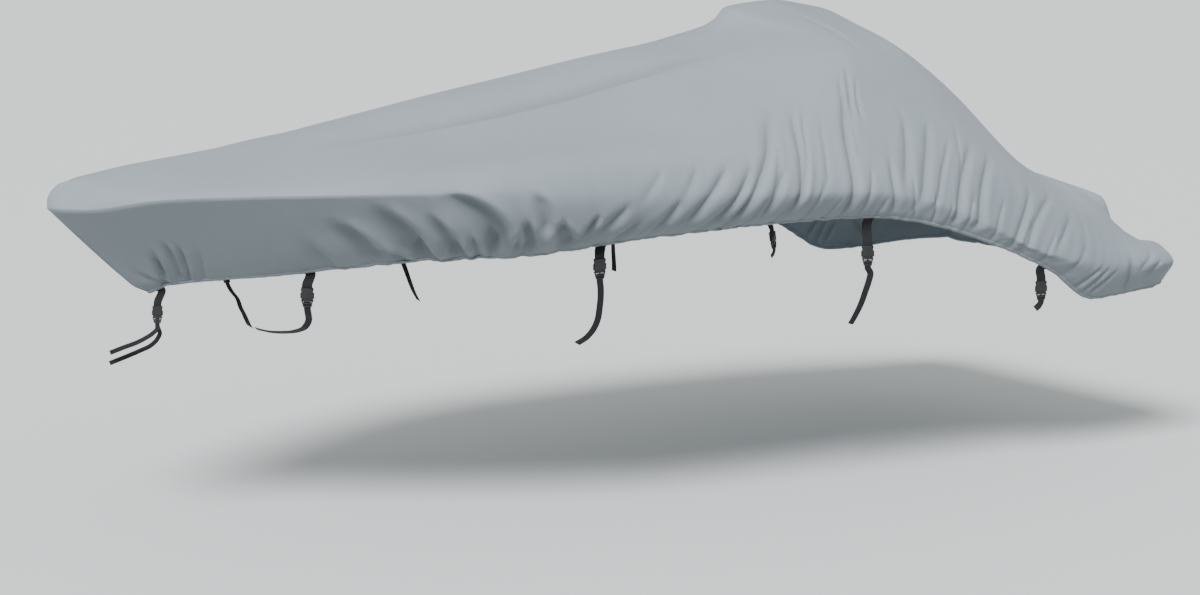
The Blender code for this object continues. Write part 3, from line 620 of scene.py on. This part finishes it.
@dataclass
class CoverSheet:
    """The cover's cloth: a loft through the ribs whose columns lean with the folds."""

    # place along the boat, spacing of the finest columns there
    steps: tuple = ((0.0, 0.0080), (0.90, 0.0090), (1.05, 0.0070), (2.25, 0.0065), (2.40, 0.0058),
                    (4.72, 0.0058), (4.95, 0.0070), (5.10, 0.0090), (6.0, 0.0110))
    # place along the boat, how far the columns lean aft for each metre up
    leans: tuple = ((0.0, 0.0), (0.25, -0.30), (0.60, -0.45), (1.0, -0.70), (1.60, -0.60), (2.30, 0.50),
                    (2.70, 0.85), (3.0, 0.85), (3.35, 0.60), (3.65, 0.35), (3.85, 0.45), (4.10, 0.75),
                    (4.70, 0.75), (5.0, 0.30), (5.18, 0.0))
    # place along the boat, how crisp the sheer's edge is
    crisps: tuple = ((0.0, 0.75), (0.9, 0.85), (1.25, 0.5), (1.6, 0.0))
    # place along the boat, how strongly the elastic gathers the skirt
    gathers: tuple = ((0.30, 0.15), (1.00, 0.25), (1.25, 1.0), (2.60, 0.9), (3.20, 0.7), (4.60, 0.75),
                      (4.90, 0.4), (5.20, 0.5), (5.45, 0.9))
    # place along the boat, half-breadth of the crease at the foot of the ridge
    valleys: tuple = ((0.98, 0.227), (1.34, 0.280), (1.83, 0.309), (2.34, 0.327), (2.87, 0.348),
                      (3.35, 0.366))
    rows: tuple = (8, 16, 16, 16, 12, 8)  # finest rows between the ribs' lines, from the hem up
    spans: tuple = (4, 2)  # sizes of the cells that may be divided, in finest cells
    bows: tuple = (0.0010, 0.0014)  # how far the cloth may leave such a cell before it is divided
    lean_reach: float = 0.32  # height over which the columns lean
    fold_shape: FoldShape = FoldShape()
    fold_gain: float = 1.25  # the cloth folds this much deeper than its solid
    hem_fold: float = 0.25  # share of a fold's depth that the taut hem leaves
    hem_reach: float = 3.0  # height over the hem where a fold is whole, in fold widths
    head_shift: float = 0.6  # share of a starboard fold's shift that its head has
    side_folds_to: float = 5.1  # a fold with its foot aft of this goes on round the stern's corner
    corner_reach: float = 0.12  # length over which the other folds end there
    stern_start: float = 5.2  # x where the stern's folds start
    stern_fade: float = 0.08
    valley_depth: float = 0.0190
    valley_width: float = 0.024
    valley_slack: float = 0.45  # how much gentler the valley's inboard wall is
    valley_ends: tuple = ((0.85, 1.1), (3.40, 0.60))  # its ends, and how long it takes to reach its depth
    streak_height: float = 0.0042  # the skirt's faint wrinkles
    streak_size: tuple = (0.055, 0.42)  # their size along the hem and up the cloth
    skirt_top: float = 0.62  # the highest of them
    skirt_fade: float = 0.35
    ruffle_height: float = 0.0070  # the hem's own gathers
    ruffle_size: tuple = (0.034, 0.20)
    ruffle_reach: float = 0.060
    ease_height: float = 0.0030  # slackness of the deck's cloth
    ease_pitch: float = 2.1
    ease_from: float = 0.4  # height over the hem where it is whole
    end_share: float = 0.2  # share of all these depths at the stem and amid the stern
    grids: dict = field(default_factory=dict)
    depths: dict = field(default_factory=dict)
    girth: Grid = field(default_factory=lambda: np.zeros(0))
    along: Grid = field(default_factory=lambda: np.zeros(0))

    def lay_out(self) -> None:
        """Work out the columns, then both sides of the folded sheet."""
        lines = np.array([[rib[k] for rib in RIBS] for k in range(len(Rib._fields))])
        knots = (stations_of(lines[0]) + stations_of(lines[RAIL_LINE])) / 2
        rail_x = lines[RAIL_LINE, :, 0]
        self.along = self.space_columns(knots, rail_x)
        straight = self.loft(lines, knots, np.tile(self.along[:, None], (1, sum(self.rows) + 1)))
        self.girth = np.stack([stations_of(column) for column in straight])
        reach = self.lean_reach * (1 - np.exp(-self.girth / self.lean_reach))
        lean = read_table(self.leans, np.interp(self.along, knots, rail_x))[:, None]
        base = self.loft(lines, knots, np.clip(self.along[:, None] + lean * reach, 0, knots[-1]))
        smooth = {side: base * (1, side.value, 1) for side in Side}
        slack = {side: self.slackness(smooth[side], side) for side in Side}
        for side, grid in smooth.items():
            depth = self.fold_depth(grid, side) + slack[side] + self.valley(grid)
            depth[[0, -1]] *= self.end_share
            depth[:, -1] = slack[Side.PORT][:, -1]
            out = self.outward(grid, side)
            out[:, -1, 1] = 0
            self.grids[side] = grid - out * depth[..., None]
            self.grids[side][[0, -1], :, 1] = 0
            self.grids[side][:, -1, 1] = 0
            # these depths also become the fold_depth attribute, by which the canvas paints shade, with a
            # little dust, into its folds and creases
            self.depths[side] = depth
        LOG.info("sheet of %d columns and %d rows a side", *base.shape[:2])

    def space_columns(self, knots: Grid, rail_x: Grid) -> Grid:
        """Return the stations of the finest columns, as many as fill the coarse cells."""
        along = [0.0]
        while along[-1] < knots[-1]:
            along.append(along[-1] + float(read_table(self.steps, np.interp(along[-1], knots, rail_x))))
        count = -(-len(along) // self.spans[0]) * self.spans[0] + 1
        even = np.linspace(0, len(along) - 1, count)
        return np.interp(even, np.arange(len(along)), along) * knots[-1] / along[-1]

    def loft(self, lines: Grid, knots: Grid, along: Grid) -> Grid:
        """Read the smooth port side at a station for each column and row.

        Args:
            lines: The ribs' lines from the hem to the ridge, as lines, ribs and xyz.
            knots: The ribs' stations.
            along: The stations, as columns and rows.

        Returns:
            The points, as columns, rows and xyz, with y to port positive.
        """
        made = []
        for row in range(along.shape[1]):
            line, share = self.row_place(row)
            at = along[:, row]
            drawn = np.stack([hermite(knots, each, at) for each in lines])
            gaps = np.maximum(np.linalg.norm(np.diff(drawn, axis=0), axis=2), 1e-6)[..., None]
            slopes = np.diff(drawn, axis=0) / gaps
            before, after = self.turn(slopes, gaps, line), self.turn(slopes, gaps, line + 1)
            crisp = read_table(self.crisps, np.interp(at, knots, lines[RAIL_LINE, :, 0]))[:, None]
            if line == RAIL_LINE:
                before = before * (1 - crisp) + slopes[line] * crisp
            if line + 1 == RAIL_LINE:
                after = after * (1 - crisp) + slopes[line] * crisp
            gap = gaps[line]
            made.append(cubic(share, drawn[line], gap * before, drawn[line + 1], gap * after))
        return np.stack(made, axis=1)

    def turn(self, slopes: Grid, gaps: Grid, line: int) -> Grid:
        """Return the direction across a rib line: the mean of the spans beside it, by their length."""
        if line == 0 or line == len(slopes):
            return slopes[min(line, len(slopes) - 1)]
        below, above = gaps[line - 1], gaps[line]
        return (slopes[line - 1] * below + slopes[line] * above) / (below + above)

    def row_place(self, row: int) -> tuple[int, float]:
        """Return the rib line below a row, and how far the row is from it to the next."""
        line = 0
        while row >= self.rows[line] and line + 1 < len(self.rows):
            row -= self.rows[line]
            line += 1
        return line, row / self.rows[line]

    def outward(self, grid: Grid, side: Side) -> Grid:
        """Return the unit normals of a side, which point out of the boat."""
        across = np.cross(np.gradient(grid, axis=0), np.gradient(grid, axis=1)) * -side.value
        return across / np.maximum(np.linalg.norm(across, axis=2, keepdims=True), 1e-9)

    def fold_depth(self, grid: Grid, side: Side) -> Grid:
        """Return the depth of all the folds of a side, with its share of the stern's."""
        x, y, z = np.moveaxis(grid, -1, 0)
        depth = np.zeros(x.shape)
        abeam = np.clip((STERN_FROM - x) / self.corner_reach, 0, 1)
        astern = (1 - abeam) * np.clip((x - self.stern_start) / self.stern_fade, 0, 1)
        drift = sorted((fold.foot_along, STARBOARD_SHIFT * math.sin(STARBOARD_TURNS * number + 1))
                       for number, fold in enumerate(MAIN_FOLDS))
        for fold in MAIN_FOLDS + FINE_FOLDS:
            shift = float(read_table(drift, fold.foot_along)) if side is Side.STARBOARD else 0.0
            placed = fold._replace(foot_along=fold.foot_along + shift,
                                   head_along=fold.head_along + shift * self.head_shift)
            here = abeam if fold.foot_along < self.side_folds_to else 1.0
            taut = self.hem_fold + (1 - self.hem_fold) * ease(self.girth / (self.hem_reach * fold.width))
            depth += fold.depth * self.fold_gain * self.fold_shape.trough(x, z, placed) * here * taut
        for fold in STERN_FOLDS:
            depth += fold.depth * self.fold_gain * self.fold_shape.trough(-y, z, fold) * astern
        return depth

    def valley(self, grid: Grid) -> Grid:
        """Return the depth of the long crease where the flank meets the foot of the ridge."""
        along = grid[..., 0]
        off = (read_table(self.valleys, along) - np.abs(grid[..., 1])) / self.valley_width
        off *= np.where(off > 0, self.valley_slack, 1.0)
        (start, rise), (stop, fall) = self.valley_ends
        held = ease((along - start) / rise) * ease((stop - along) / fall)
        return self.valley_depth * np.exp(-off**2) * held

    def slackness(self, grid: Grid, side: Side) -> Grid:
        """Return the small uneven depths: the skirt's wrinkles, the hem's gathers, the deck's slack."""
        seed = 3.7 if side is Side.PORT else 11.3
        place, girth = self.along[:, None], self.girth
        gather = read_table(self.gathers, grid[:, 0, 0])[:, None]
        skirt = ease((self.skirt_top - girth) / self.skirt_fade) * gather
        ruffle = np.exp(-girth / self.ruffle_reach) * gather
        streaks = noise_grid(place / self.streak_size[0], girth / self.streak_size[1], seed)
        ruffles = noise_grid(place / self.ruffle_size[0], girth / self.ruffle_size[1], seed + 20)
        slack = noise_grid(*np.moveaxis(grid * self.ease_pitch, -1, 0))
        return (streaks * self.streak_height * skirt + ruffles * self.ruffle_height * ruffle
                + slack * self.ease_height * ease(girth / self.ease_from))

    def build(self, material: Material) -> Piece:
        """Shape a created grid into the sheet, from the port hem over the ridge to the starboard hem."""
        columns, ridge = (count - 1 for count in self.girth.shape)
        mesh = flat_grid(columns, 2 * ridge, self.spans[0])
        for span, bow in zip(self.spans, self.bows):
            self.divide(mesh, span, bow)

        def place(column: int, row: int) -> tuple:
            side = Side.PORT if row <= ridge else Side.STARBOARD
            at = column, min(row, 2 * ridge - row)
            height = (self.girth[column, -1] - self.girth[at]) * side.value
            return self.grids[side][at] - HELD_AT, (self.along[column], height), self.depths[side][at]

        lay_cloth(mesh, place)
        self.face_out(mesh)
        cover = finish_piece("canvas_sheet", mesh, material, ("cover_body",))
        thicken(cover, SHEET_THICK, -1)
        return cover

    def divide(self, mesh: Mesh, span: int, bow: float) -> None:
        """Divide the cells of one size that the folded cloth would leave by more than a tolerance.

        Args:
            mesh: The flat grid, whose x and y count the finest columns and rows.
            span: The cells' size, in finest cells.
            bow: The tolerance.
        """
        cloth = np.concatenate([self.grids[Side.PORT], self.grids[Side.STARBOARD][:, -2::-1]], axis=1)
        columns, rows = ((n - 1) // span for n in cloth.shape[:2])
        corners = cloth[::span, ::span]
        rough = np.zeros((columns, rows), bool)
        for a in range(span + 1):
            for b in range(span + 1):
                p, q = a / span, b / span
                flat = ((1 - p) * (1 - q) * corners[:-1, :-1] + p * (1 - q) * corners[1:, :-1]
                        + (1 - p) * q * corners[:-1, 1:] + p * q * corners[1:, 1:])
                there = cloth[a:a + columns * span:span, b:b + rows * span:span]
                rough |= np.linalg.norm(there - flat, axis=2) > bow
        rail = sum(self.rows[:RAIL_LINE])
        sharp = read_table(self.crisps, self.grids[Side.PORT][:-1:span, rail, 0]) > 0
        for row in (rail // span, rows - rail // span):
            rough[sharp, row - 1:row + 1] = True
        for end in (0, -1):
            rough[end] |= rough[end, ::-1]
        edges = set()
        for face in mesh.faces:
            if len(face.verts) == 4 and abs(face.calc_area() - span**2) < 0.01:
                middle = face.calc_center_median()
                if rough[int(middle.x / span), int(middle.y / span)]:
                    edges.update(face.edges)
        bmesh.ops.subdivide_edges(mesh, edges=list(edges), cuts=1, use_grid_fill=True)

    def face_out(self, mesh: Mesh) -> None:
        """Turn the faces over where the highest one looks down."""
        mesh.faces.ensure_lookup_table()
        highest = max(mesh.faces, key=lambda f: f.calc_center_median().z)
        if highest.normal.z < 0:
            bmesh.ops.reverse_faces(mesh, faces=mesh.faces)

    def hem_loop(self) -> tuple[Grid, Grid]:
        """Return the hem as a closed loop, from the stem aft to port and back, and the way up from it."""
        port, starboard = self.grids[Side.PORT], self.grids[Side.STARBOARD][-2:0:-1]
        loop = np.concatenate([port, starboard])
        return loop[:, 0] - HELD_AT, unit(loop[:, UP_ROWS] - loop[:, 0])


@dataclass
class RolledHem:
    """The hem: a gathered channel of the cover's cloth round an elastic cord."""

    height: float = 0.019
    thick: float = 0.008
    lift: float = 0.55               # how far its middle stands over the sheet's edge, in half heights
    sides: int = 12
    step: float = 0.008
    pucker: float = 0.0016
    pucker_pitch: float = 0.019

    def build(self, cover: CoverSheet, material: Material) -> Piece:
        """Wrap a created grid round the hem's loop."""
        loop, ups = (np.vstack([each, each[:1]]) for each in cover.hem_loop())
        knots = stations_of(loop)
        count = int(knots[-1] / self.step)
        at = np.linspace(0, knots[-1], count + 1)
        centre, up = read_rows(knots, loop, at), read_rows(knots, ups, at)
        ahead = np.roll(centre[:-1], -1, axis=0) - np.roll(centre[:-1], 1, axis=0)
        ahead = unit(np.vstack([ahead, ahead[:1]]))
        out = unit(np.cross(ahead, up))
        up = np.cross(out, ahead)

        def place(column: int, row: int) -> tuple:
            i, angle = column % count, 2 * math.pi * row / self.sides
            turn = math.cos(angle), math.sin(angle)
            gather = self.pucker * noise.noise((at[i] / self.pucker_pitch, *turn))
            rise = (self.height + gather) / 2 * (turn[0] + self.lift)
            point = centre[i] + up[i] * rise + out[i] * (self.thick / 2 + gather) * turn[1]
            # the last value darkens the hem where it gathers in: painted shade, with a little dust,
            # through the canvas's fold_depth
            return point, (at[column], row * 2 * self.height / self.sides), -3 * gather

        mesh = flat_grid(count, self.sides)
        lay_cloth(mesh, place)
        return finish_piece("rolled_hem", mesh, material)


# ---------------------------------------------------------------- straps
class StrapSize(NamedTuple):
    """Widths of a strap's pieces, and the length of its buckle."""

    webbing: float
    tail: float
    buckle: float
    length: float


WIDE = StrapSize(0.045, 0.030, 0.062, 0.094)
NARROW = StrapSize(0.035, 0.020, 0.050, 0.075)


class StrapRoute(NamedTuple):
    """A tie-down strap of the port side, as points (x, half-breadth, z) from the nose and the ground."""

    name: str
    size: StrapSize
    hem_x: float
    turn: float              # how far the buckle is turned to face forward, degrees
    buckle_top: tuple
    buckle_foot: tuple
    tails: tuple
    tail_across: tuple       # the width's direction at the tails' free ends


STRAPS = (
    StrapRoute("bow", NARROW, 0.484, 0.0, (0.480, 0.022, 1.001), (0.479, 0.019, 0.926), (
        ((0.474, 0.029, 0.904), (0.450, 0.034, 0.885), (0.414, 0.033, 0.866), (0.378, 0.030, 0.851),
         (0.320, 0.024, 0.834), (0.259, 0.018, 0.815)),
        ((0.488, 0.008, 0.900), (0.497, 0.000, 0.877), (0.486, -0.006, 0.850), (0.455, -0.008, 0.824),
         (0.414, -0.008, 0.809), (0.352, -0.006, 0.790), (0.264, -0.004, 0.765))), (0.45, 0.30, -0.80)),
    StrapRoute("fore", WIDE, 0.995, 0.0, (0.992, 0.452, 1.094), (1.008, 0.418, 1.001), (
        ((1.020, 0.402, 0.968), (1.034, 0.375, 0.939), (1.033, 0.340, 0.905), (1.023, 0.280, 0.881),
         (0.997, 0.190, 0.864), (0.967, 0.100, 0.858), (0.941, 0.030, 0.863)),), (0.80, 0.10, -0.50)),
    StrapRoute("mid", WIDE, 2.175, 0.0, (2.148, 0.978, 1.200), (2.158, 0.964, 1.107), (
        ((2.167, 0.956, 1.066), (2.173, 0.946, 1.020), (2.177, 0.930, 0.969), (2.184, 0.905, 0.920),
         (2.185, 0.870, 0.873), (2.180, 0.820, 0.828), (2.171, 0.750, 0.789)),), (0.80, 0.00, -0.60)),
    StrapRoute("waist", WIDE, 3.531, 18.0, (3.506, 1.120, 1.178), (3.513, 1.114, 1.085), (
        ((3.532, 1.110, 1.048), (3.528, 1.104, 1.010), (3.519, 1.092, 0.963), (3.509, 1.074, 0.905),
         (3.497, 1.048, 0.847), (3.485, 1.026, 0.803)),), (0.94, 0.20, 0.10)),
    StrapRoute("quarter", WIDE, 4.557, 22.0, (4.564, 1.110, 0.931), (4.573, 1.102, 0.839), (
        ((4.571, 1.100, 0.822), (4.563, 1.097, 0.809), (4.546, 1.092, 0.795)),), (0.90, 0.40, 0.00)),
)


@dataclass
class Ribbon:
    """A flat strap that follows a smooth route."""

    name: str
    path: Grid
    across: Grid
    width: float
    thick: float
    step: float = 0.006
    cells: int = 4
    crown: float = 0.15              # how far its middle stands proud, as a share of its thickness
    edge: float = 0.28               # how far its edges are worn round, likewise
    length: float = 0.0

    def build(self, material: Material, nodes: Sequence[str]) -> Piece:
        """Shape a created grid into the ribbon and give it its thickness and worn edges."""
        knots = stations_of(self.path)
        count = max(4, int(round(knots[-1] / self.step)))
        at = np.linspace(0, knots[-1], count + 1)
        middle = hermite(knots, self.path, at)
        half = read_rows(knots, self.across, at)
        ahead = unit(np.gradient(middle, axis=0))
        half -= ahead * np.sum(half * ahead, axis=1, keepdims=True)
        half = unit(half) * self.width / 2
        face = unit(np.cross(ahead, half))
        run = stations_of(middle)
        self.length = float(run[-1])

        def place(column: int, row: int) -> tuple:
            share = row / self.cells - 0.5
            proud = self.thick * self.crown * (1 - (2 * share)**2)
            point = middle[column] + half[column] * 2 * share + face[column] * proud
            return point, (run[column], share), 0.0

        mesh = flat_grid(count, self.cells)
        lay_cloth(mesh, place)
        piece = finish_piece(self.name, mesh, material, nodes)
        thicken(piece, self.thick, 0)
        edge = piece.modifiers.new("edge", "BEVEL")
        edge.width = self.thick * self.edge
        edge.segments = 2
        edge.limit_method = "ANGLE"
        return piece


class Block(NamedTuple):
    """A bevelled block of a buckle: its size and place, as shares of the width, thickness and length.

    One that stands off the middle across or in thickness has a twin on the other side.
    """

    size: tuple
    place: tuple
    edge: float              # metres
    segments: int = 3
    foot: float = 1.0        # its width at its foot, as a share


# from the socket at the top to the ladder-lock at the foot
BUCKLE_BLOCKS = (
    Block((0.90, 0.24, 0.52), (0.0, 0.38, 0.24), 0.0011, foot=0.90),# the socket's shells
    Block((0.34, 0.084, 0.2184), (0.0, 0.4808, 0.2088), 0.0006, 2), # their raised pads
    Block((0.10, 1.0, 0.13), (0.42, 0.0, 0.435), 0.0022),           # their shoulders
    Block((0.80, 0.52, 0.055), (0.0, 0.0, 0.335), 0.0012),
    Block((0.93, 0.60, 0.050), (0.0, 0.0, 0.475), 0.0014),          # the bar of the sewn webbing
    Block((0.115, 0.46, 0.30), (0.430, 0.0, 0.10), 0.0016),         # the sprung prongs
    Block((0.075, 0.368, 0.22), (0.36, 0.0, -0.10), 0.0012),
    Block((0.13, 0.46, 0.46), (0.0, 0.0, 0.0), 0.0010),             # the guide between them
    Block((0.64, 0.368, 0.15), (0.0, 0.0, -0.07), 0.0010),
    Block((0.86, 0.62, 0.075), (0.0, 0.0, -0.16), 0.0014),          # the ladder-lock's frame
    Block((0.12, 0.62, 0.36), (0.35, 0.0, -0.315), 0.0014),
    Block((0.66, 0.58, 0.055), (0.0, 0.0, -0.465), 0.0014),         # its two crossbars
    Block((0.66, 0.50, 0.055), (0.0, 0.0, -0.315), 0.0014),
)


@dataclass
class SideReleaseBuckle:
    """A side-release buckle: a socket with open sides, two prongs and a ladder-lock below."""

    width: float
    length: float
    thick: float = 0.0145
    crease: float = 38.0             # the least angle of a sharp edge, degrees
    # place from foot to top, its width there as a share of the full width
    taper: tuple = ((-0.50, 0.72), (-0.22, 1.0), (0.28, 1.0), (0.50, 0.90))

    def build(self, name: str, top: Vector, foot: Vector, across: Vector, material: Material,
              nodes: Sequence[str]) -> Piece:
        """Join the buckle's moulded blocks, narrow its ends and set it between its two points.

        Args:
            name: The piece's name.
            top: Where the sewn webbing enters it.
            foot: Where the loose webbing leaves it.
            across: The direction of its width.
            material: Its material.
            nodes: The solids that it stands for.

        Returns:
            The piece.
        """
        mesh = bmesh.new()
        for block in BUCKLE_BLOCKS:
            self.mould(mesh, block)
        for vert in mesh.verts:
            vert.co.x *= float(read_table(self.taper, vert.co.z / self.length))
        up = (top - foot).normalized()
        side = (across - up * across.dot(up)).normalized()
        turn = Matrix((side, up.cross(side), up)).transposed().to_4x4()
        bmesh.ops.transform(mesh, matrix=Matrix.Translation((top + foot) / 2) @ turn, verts=mesh.verts)
        piece = finish_piece(name, mesh, material, nodes)
        piece.data.set_sharp_from_angle(angle=math.radians(self.crease))
        return piece

    def mould(self, mesh: Mesh, block: Block) -> None:
        """Add a bevelled block, and its twin if it has one."""
        full = np.array((self.width, self.thick, self.length))
        off = block.place[0] or block.place[1]
        for hand in (-1, 1) if off else (1,):
            at = full * block.place * (hand, hand, 1)
            made = bmesh.ops.create_cube(mesh, size=1)["verts"]
            bmesh.ops.scale(mesh, verts=made, vec=Vector(full * block.size))
            bmesh.ops.translate(mesh, verts=made, vec=Vector(at))
            edges = list({e for v in made for e in v.link_edges})
            grown = bmesh.ops.bevel(mesh, geom=edges, offset=block.edge, segments=block.segments,
                                    profile=0.5, affect="EDGES", material=-1, clamp_overlap=True)
            for vert in grown["verts"]:
                if vert.co.z < at[2]:
                    vert.co.x *= block.foot


@dataclass
class TieDown:
    """One strap: the webbing sewn inside the hem, its buckle and the webbing below it."""

    route: StrapRoute
    side: Side
    thick: float = 0.0018
    sewn: tuple = (0.016, 0.028)         # how far the bow's webbing, and any other, runs up inside
    inside: tuple = (0.0035, 0.0050)     # how far it lies behind the cloth there
    slot: float = 0.009                  # how far the webbing runs into the buckle's top
    tail_slot: float = 0.026             # and into its foot
    straight: tuple = (0.012, 0.012, 0.008)  # how far it runs straight off the hem and the buckle's ends
    layer: float = 0.0026                # distance between two free ends where they leave the buckle

    @property
    def is_bow(self) -> bool:
        """Whether this is the single strap at the stem."""
        return self.route.name == "bow"

    @property
    def label(self) -> str:
        """The strap's name, as in its solids."""
        return "bow" if self.is_bow else f"{self.route.name}_{self.side.name.lower()}"

    def build(self, cover: CoverSheet, upper: Material, lower: Material, plastic: Material) -> list[Piece]:
        """Build the strap's pieces.

        Args:
            cover: The cover that it is sewn to.
            upper: The sewn webbing's material.
            lower: The loose webbing's material.
            plastic: The buckle's material.

        Returns:
            The pieces.
        """
        size = self.route.size
        mirror = np.array((1, self.side.value, 1))
        top = np.array(self.route.buckle_top) * mirror - HELD_AT
        down = unit(np.array(self.route.buckle_foot) * mirror - HELD_AT - top)
        foot = top + down * size.length
        start, hem, across = self.sewn_end(cover)
        level = unit(across - down * np.dot(across, down))
        out = np.cross(down, level) * -self.side.value
        turn = math.radians(self.route.turn)
        level = level * math.cos(turn) + out * math.sin(turn)
        from_hem, to_buckle, from_buckle = self.straight
        leave = hem + unit(hem - start) * from_hem
        path = np.array([start, hem, leave, top - down * to_buckle, top, top + down * self.slot])
        facing = np.array([across] * 3 + [level] * 3)
        strap = Ribbon(f"sewn_webbing_{self.label}", path, facing, size.webbing, self.thick)
        pieces = [strap.build(upper, (f"webbing_{self.label}",))]
        buckle = SideReleaseBuckle(size.buckle, size.length).build(
            f"side_release_{self.label}", Vector(top), Vector(foot), Vector(level), plastic,
            (f"buckle_{self.label}",))
        pieces.append(buckle)
        flat = unit(np.cross(down, level)) * self.layer
        free = np.array(self.route.tail_across) * mirror
        for number, tail in enumerate(self.route.tails):
            layer = flat * (number - (len(self.route.tails) - 1) / 2) * (-1 if self.is_bow else 1)
            points = np.array(tail) * mirror - HELD_AT + layer
            name = self.label if len(self.route.tails) == 1 else f"{self.label}_{number + 1}"
            leave = [foot + layer + down * run for run in (-self.tail_slot, 0, from_buckle)]
            path = np.array([*leave, *points])
            share = np.linspace(0, 1, len(points) + 1)[1:, None]
            facing = np.concatenate([[level] * 3, level * (1 - share) + free * share])
            ribbon = Ribbon(f"loose_webbing_{name}", path, facing, size.tail, self.thick)
            pieces.append(ribbon.build(lower, (f"tail_{name}",)))
        return pieces

    def sewn_end(self, cover: CoverSheet) -> tuple[Grid, Grid, Grid]:
        """Return where the strap is sewn in: its start, the hem's point and the hem's direction."""
        grid = cover.grids[self.side] - HELD_AT
        hem = grid[:, 0]
        x, breadth = self.route.hem_x - HELD_AT[0], self.side.value * self.route.buckle_top[1]
        at = int(np.argmin(np.hypot(hem[:, 0] - x, hem[:, 1] - breadth)))
        along = unit(hem[at + 2] - hem[at - 2])
        rise = unit(grid[at, UP_ROWS] - grid[at, 0])
        kind = 0 if self.is_bow else 1
        inward = unit(np.cross(along, rise)) * self.side.value * self.inside[kind]
        return hem[at] + rise * self.sewn[kind] + inward, hem[at] + inward, along


# ---------------------------------------------------------------- the studio
@dataclass
class Studio:
    """The camera, the lights and the floor."""

    eye: tuple = (-3.974, -10.820, 2.792)    # from the nose and the ground
    heading: float = 58.109                  # degrees from +X
    pitch: float = -7.52
    focal_px: float = 2682.43
    centre_px: tuple = (600.0, 244.45)
    image_px: tuple = (1200, 595)
    sensor: float = 36.0
    far: float = 400.0
    air: tuple = (0.94, 0.99, 0.975, 1)
    air_strength: float = 0.49
    sun_heading: float = -141.0              # where the sun stands, in degrees from +X towards +Y
    sun_height: float = 46.0
    sun_spread: float = 22.0
    sun_power: float = 4.0
    sun_colour: tuple = (0.975, 0.98, 1.0)
    floor_radius: float = 160.0

    def camera(self) -> None:
        """Create the camera at the asked view."""
        data = bpy.data.cameras.new("view")
        data.sensor_width = self.sensor
        data.lens = self.focal_px / self.image_px[0] * self.sensor
        data.shift_x = (self.image_px[0] / 2 - self.centre_px[0]) / self.image_px[0]
        data.shift_y = (self.centre_px[1] - self.image_px[1] / 2) / self.image_px[0]
        data.clip_end = self.far
        camera = self.put("view", data)
        camera.location = Vector(self.eye) - Vector(HELD_AT)
        camera.rotation_euler = (math.radians(90 + self.pitch), 0, math.radians(self.heading - 90))
        bpy.context.scene.camera = camera

    def lights(self) -> None:
        """Add the pale surroundings and one broad soft sun."""
        world = bpy.data.worlds.new("surroundings")
        world.use_nodes = True
        backdrop = next(n for n in world.node_tree.nodes if n.type == "BACKGROUND")
        backdrop.inputs["Color"].default_value = self.air
        backdrop.inputs["Strength"].default_value = self.air_strength
        bpy.context.scene.world = world
        data = bpy.data.lights.new("key", "SUN")
        data.angle = math.radians(self.sun_spread)
        data.energy = self.sun_power
        data.color = self.sun_colour
        lamp = self.put("key", data)
        lamp.rotation_euler = (math.radians(90 - self.sun_height), 0, math.radians(self.sun_heading + 90))

    def floor(self, material: Material) -> None:
        """Add the floor, at ground level."""
        mesh = bmesh.new()
        bmesh.ops.create_circle(mesh, cap_ends=True, segments=96, radius=self.floor_radius)
        data = bpy.data.meshes.new("floor")
        mesh.to_mesh(data)
        mesh.free()
        data.materials.append(material)
        floor = self.put("floor", data)
        floor.location = (0, 0, GROUND)
        floor.visible_diffuse = False

    def put(self, name: str, data: bpy.types.ID) -> Piece:
        """Add an object to the scene and return it."""
        made = bpy.data.objects.new(name, data)
        bpy.context.scene.collection.objects.link(made)
        return made


def main() -> None:
    """Build the cover's pieces and its studio in order."""
    logging.basicConfig(level=logging.INFO, format="%(name)s: %(message)s")
    studio = Studio()
    studio.camera()
    studio.lights()
    studio.floor(FloorFinish().make())

    canvas = CanvasFinish().make()
    cover = CoverSheet()
    cover.lay_out()
    sheet = cover.build(canvas)
    hem = RolledHem().build(cover, canvas)
    LOG.info("%s with %d faces", sheet.name, len(sheet.data.polygons))

    upper = WebbingFinish("wide_webbing").make()
    lower = WebbingFinish("narrow_webbing", rows=4).make()
    plastic = PlasticFinish().make()
    for route in STRAPS:
        for side in Side:
            if route.name == "bow" and side is Side.STARBOARD:
                continue
            for piece in TieDown(route, side).build(cover, upper, lower, plastic):
                LOG.info("%s with %d faces", piece.name, len(piece.data.polygons))


if __name__ == "__main__":
    main()
